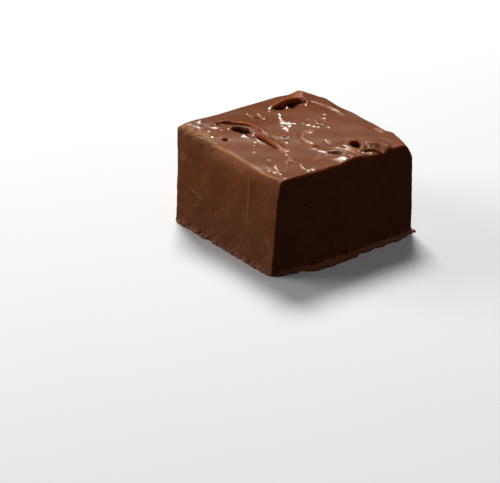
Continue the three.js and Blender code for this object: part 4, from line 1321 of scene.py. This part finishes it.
class FudgeShape(bpy.types.PropertyGroup):
    """The sizes of the square."""

    width: length("Width", "Side to side at half height", 0.0412)
    depth: length("Depth", "Front to back at half height", 0.0403)
    height: length("Height", "From the underside to the flat of the top", 0.025)
    edge_radius: length("Edge radius", "How far the knife-cut edges are rounded", 0.0006)
    foot_height: length("Foot height", "How thick the smear round the underside is", 0.00075)
    wave_height: length("Wave height", "Of the slow swell over the poured top", 0.00013)
    cut_wander: length("Cut wander", "How far the knife strays from a flat side", 0.00022)
    stir_depth: bpy.props.FloatProperty(
        name="Stir depth", description="Scales every fold, tear and lump of the top",
        default=1.0, min=0.0, soft_max=2.0,
    )
    stir_fade: length("Stir fade", "How far down the sides the folds are felt", 0.0035)
    grain_height: length("Grain height", "Of the fine relief on the cut sides", 0.00005)
    crumb_height: length("Crumb height", "Of the crumbly relief on the rim and foot", 0.0002)


class FudgeFinish(bpy.types.PropertyGroup):
    """The colours and gloss of the fudge."""

    top_dark: tint("Top, darker", "Darker patches of the poured top", (0.165, 0.053, 0.022))
    # Partly painted sheen: the bare top is darker, the paler top elsewhere stands partly for sheen.
    top_bare: tint("Top, bare", "The poured top where no bloom lies", (0.165, 0.047, 0.015))
    top_light: tint("Top, lighter", "Lighter patches of the poured top", (0.21, 0.07, 0.032))
    cut_dark: tint("Cut side, darker", "Darker patches of the cut sides", (0.24, 0.072, 0.026))
    cut_light: tint("Cut side, lighter", "Lighter patches of the cut sides", (0.29, 0.094, 0.037))
    fleck: tint("Flecks", "Pale sugar flecks in the cut sides", (0.48, 0.24, 0.14))
    # Pale marks: partly scratches, partly painted highlights on streaks and beads in the top.
    scratch: tint("Scratches", "Pale scratches in the top", (0.5, 0.28, 0.18))
    rim: tint("Rim", "The dry, crumbly rim", (0.36, 0.168, 0.07))
    # Painted shade on the rim's outer half, out of the light; the crumbs reuse it as their own
    # tone.
    rim_shade: tint("Rim, outer", "The browner outer half of the rim", (0.15, 0.07, 0.027))
    # Painted light: the smear lies in shade, and its paler colour stands in for light on it.
    smear: tint("Smear", "The dry smear round the foot", (0.46, 0.28, 0.18))
    crumb: tint("Crumbs", "The palest crumbs", (0.62, 0.42, 0.27))
    # Painted highlight: a paler line along the knife-cut edges where they catch the light.
    edge: tint("Edges", "The thin knife-cut edges round the top", (0.48, 0.23, 0.1))
    low: tint("Low on the sides", "The greyer lower part of the cut sides", (0.165, 0.06, 0.031))
    torn: tint("Torn lips", "The dull brown of torn lips", (0.15, 0.045, 0.014))
    # Painted shade: a near black laid in the bottoms of hollows and in the grain's voids.
    pit: tint("Pits", "The bottoms of the deepest hollows", (0.03, 0.01, 0.004))
    # Painted glow: an orange laid on thin lips and edges in place of light coming through them.
    glow: tint("Thin lips", "Where a lip is thin enough to glow", (0.64, 0.14, 0.022))
    top_roughness: factor("Top roughness", "Of the poured top", 0.31)
    cut_roughness: factor("Cut roughness", "Of the cut sides", 0.62)
    coat: factor("Coat", "How much of a sharper gloss the top has", 0.13)
    scatter: factor("Scatter", "Share of the light that scatters under the surface", 0.25)
    scatter_depth: length("Scatter depth", "How far red light scatters", 0.0009)


class FudgeStage(bpy.types.PropertyGroup):
    """The floor, lights and camera."""

    azimuth: angle("Azimuth", "Camera bearing, from the front towards the right", 53.0)
    elevation: angle("Elevation", "Camera height angle", 26.6)
    roll: angle("Roll", "Camera roll", -0.48)
    distance: length("Distance", "From the camera to the point that it looks at", 0.586)
    lens: bpy.props.FloatProperty(
        name="Lens", description="Focal length, on a 36 mm sensor", default=172.8, min=1.0,
        unit="CAMERA",
    )
    floor_size: length("Floor size", "Side of the floor", 4.0)
    floor: tint("Floor", "Colour of the floor", (0.78, 0.85, 0.97))


# ---- Operators -------------------------------------------------------------------------


class FUDGE_OT_square(bpy.types.Operator):
    """Builds the square of fudge in place of its plain solid"""

    bl_idname = "fudge.square"
    bl_label = "Fudge square"

    def execute(self, context):
        block = Block(context.scene.fudge_shape)
        points, faces, masks = skin(block)
        masks.update(low_masks(block, points, masks["poured"]))
        made = new_object("fudge_body", points, faces, masks)

        # The underside stays flat on the floor, and nothing is lifted below it.
        under = points[:, 2] <= 1e-6
        points = points + normals_of(made) * fine_relief(block, points, masks)[:, None]
        points[:, 2] = np.where(under, 0.0, np.maximum(points[:, 2], 0.0))
        move_points(made, points)

        made.data.materials.append(fudge_material(context.scene.fudge_finish))
        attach(made, "root")
        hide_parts(NODE)
        return {"FINISHED"}


class FUDGE_OT_crumbs(bpy.types.Operator):
    """Adds the crumbs that cling to the rim, the tears and the foot"""

    bl_idname = "fudge.crumbs"
    bl_label = "Clinging crumbs"

    def execute(self, context):
        block = Block(context.scene.fudge_shape)
        chance = np.random.default_rng(SEEDS["crumb places"])
        places, sizes, pale = crumb_places(block, chance)
        points, faces = crumb_heap(places, sizes, SEEDS["crumb shapes"])
        points[:, 2] = np.maximum(points[:, 2], 0.0)
        each = len(points) // len(places)
        made = new_object("fudge_crumbs", points, faces, {"pale": np.repeat(pale, each)})
        made.data.materials.append(crumb_material(context.scene.fudge_finish))
        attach(made, "root")
        return {"FINISHED"}


LAMP_AIM = Vector((0.0, 0.0, 0.012))
LAMP_COLOUR = (1.0, 0.92, 0.8)

# Bearing and height in degrees, distance and size in metres, watts, and the share of the light
# that makes highlights.
LAMPS = {
    "key": (243.0, 58.0, 0.9, 0.28, 8.4, 1.0),
    "left_fill": (-50.0, 22.0, 0.95, 0.6, 4.9, 0.25),
    "above": (90.0, 78.0, 0.9, 0.5, 0.8, 0.0),
}
ROOM_LIGHT = 0.035

# The camera is set out from a point by the origin, and moved right and up of it in its own
# frame without turning, all in millimetres.
VIEW_POINT = Vector((-0.35, -0.3, 0.5))
VIEW_RIGHT, VIEW_UP = -10.42, -4.08


def towards(bearing, height):
    """The unit vector at a bearing, from the front towards the right, and a height angle."""
    level = math.cos(height)
    return Vector((math.sin(bearing) * level, -math.cos(bearing) * level, math.sin(height)))


def add_lamp(name, bearing, height, distance, size, watts, highlights):
    """A square area lamp that faces the piece from a bearing and height in degrees."""
    away = towards(math.radians(bearing), math.radians(height))
    data = bpy.data.lights.new(name, "AREA")
    data.size = size
    data.energy = watts
    data.color = LAMP_COLOUR
    data.specular_factor = highlights
    lamp = bpy.data.objects.new(name, data)
    lamp.location = LAMP_AIM + away * distance
    lamp.rotation_euler = away.to_track_quat("Z", "Y").to_euler()
    bpy.context.scene.collection.objects.link(lamp)


def add_camera(stage):
    """A camera that looks back along its own bearing and height, rolled a little."""
    back = towards(stage.azimuth, stage.elevation)
    right = Vector((math.cos(stage.azimuth), math.sin(stage.azimuth), 0.0))
    up = back.cross(right)
    rolled_right = right * math.cos(stage.roll) + up * math.sin(stage.roll)
    rolled_up = up * math.cos(stage.roll) - right * math.sin(stage.roll)
    aimed = VIEW_POINT + rolled_right * VIEW_RIGHT + rolled_up * VIEW_UP
    place = aimed * MM + back * stage.distance
    data = bpy.data.cameras.new("camera")
    data.sensor_width = 36.0
    data.lens = stage.lens
    data.clip_start = 0.01
    camera = bpy.data.objects.new("camera", data)
    turned = Matrix((rolled_right, rolled_up, back)).transposed().to_4x4()
    camera.matrix_world = Matrix.Translation(place) @ turned
    bpy.context.scene.collection.objects.link(camera)
    return camera


class FUDGE_OT_stage(bpy.types.Operator):
    """Sets a plain pale floor, soft studio lamps and the camera"""

    bl_idname = "fudge.stage"
    bl_label = "Stage"

    def execute(self, context):
        scene, stage = context.scene, context.scene.fudge_stage
        half = stage.floor_size / 2 / MM
        corners = [(-half, -half, 0), (half, -half, 0), (half, half, 0), (-half, half, 0)]
        floor = new_object("floor", corners, [(0, 1, 2, 3)])
        floor.data.materials.append(floor_material(stage))
        floor.visible_diffuse = False
        floor.visible_glossy = False

        for name, settings in LAMPS.items():
            add_lamp(name, *settings)
        scene.world = bpy.data.worlds.new("studio")
        scene.world.use_nodes = True
        room = scene.world.node_tree.nodes["Background"]
        room.inputs["Color"].default_value = (1.0, 1.0, 1.0, 1.0)
        room.inputs["Strength"].default_value = ROOM_LIGHT
        scene.view_settings.view_transform = "Standard"
        scene.camera = add_camera(stage)
        return {"FINISHED"}


class FUDGE_PT_panel(bpy.types.Panel):
    """Lists the pieces and their sizes"""

    bl_idname = "FUDGE_PT_panel"
    bl_label = "Fudge"
    bl_space_type = "VIEW_3D"
    bl_region_type = "UI"
    bl_category = "Fudge"

    def draw(self, context):
        for operator in PIECES:
            self.layout.operator(operator.bl_idname)
        for group in GROUPS:
            settings = getattr(context.scene, group)
            box = self.layout.box()
            for key in settings.__annotations__:
                box.prop(settings, key)


PIECES = (FUDGE_OT_square, FUDGE_OT_crumbs, FUDGE_OT_stage)  # in the order they are built
GROUPS = {"fudge_shape": FudgeShape, "fudge_finish": FudgeFinish, "fudge_stage": FudgeStage}


def register():
    for kind in (*GROUPS.values(), *PIECES, FUDGE_PT_panel):
        bpy.utils.register_class(kind)
    for name, kind in GROUPS.items():
        setattr(bpy.types.Scene, name, bpy.props.PointerProperty(type=kind))


def unregister():
    for name in GROUPS:
        delattr(bpy.types.Scene, name)
    for kind in (FUDGE_PT_panel, *reversed(PIECES), *reversed(GROUPS.values())):
        bpy.utils.unregister_class(kind)


def main():
    """Registers the add-on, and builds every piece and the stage."""
    register()
    bpy.ops.fudge.square()
    bpy.ops.fudge.crumbs()
    bpy.ops.fudge.stage()


if __name__ == "__main__":
    main()
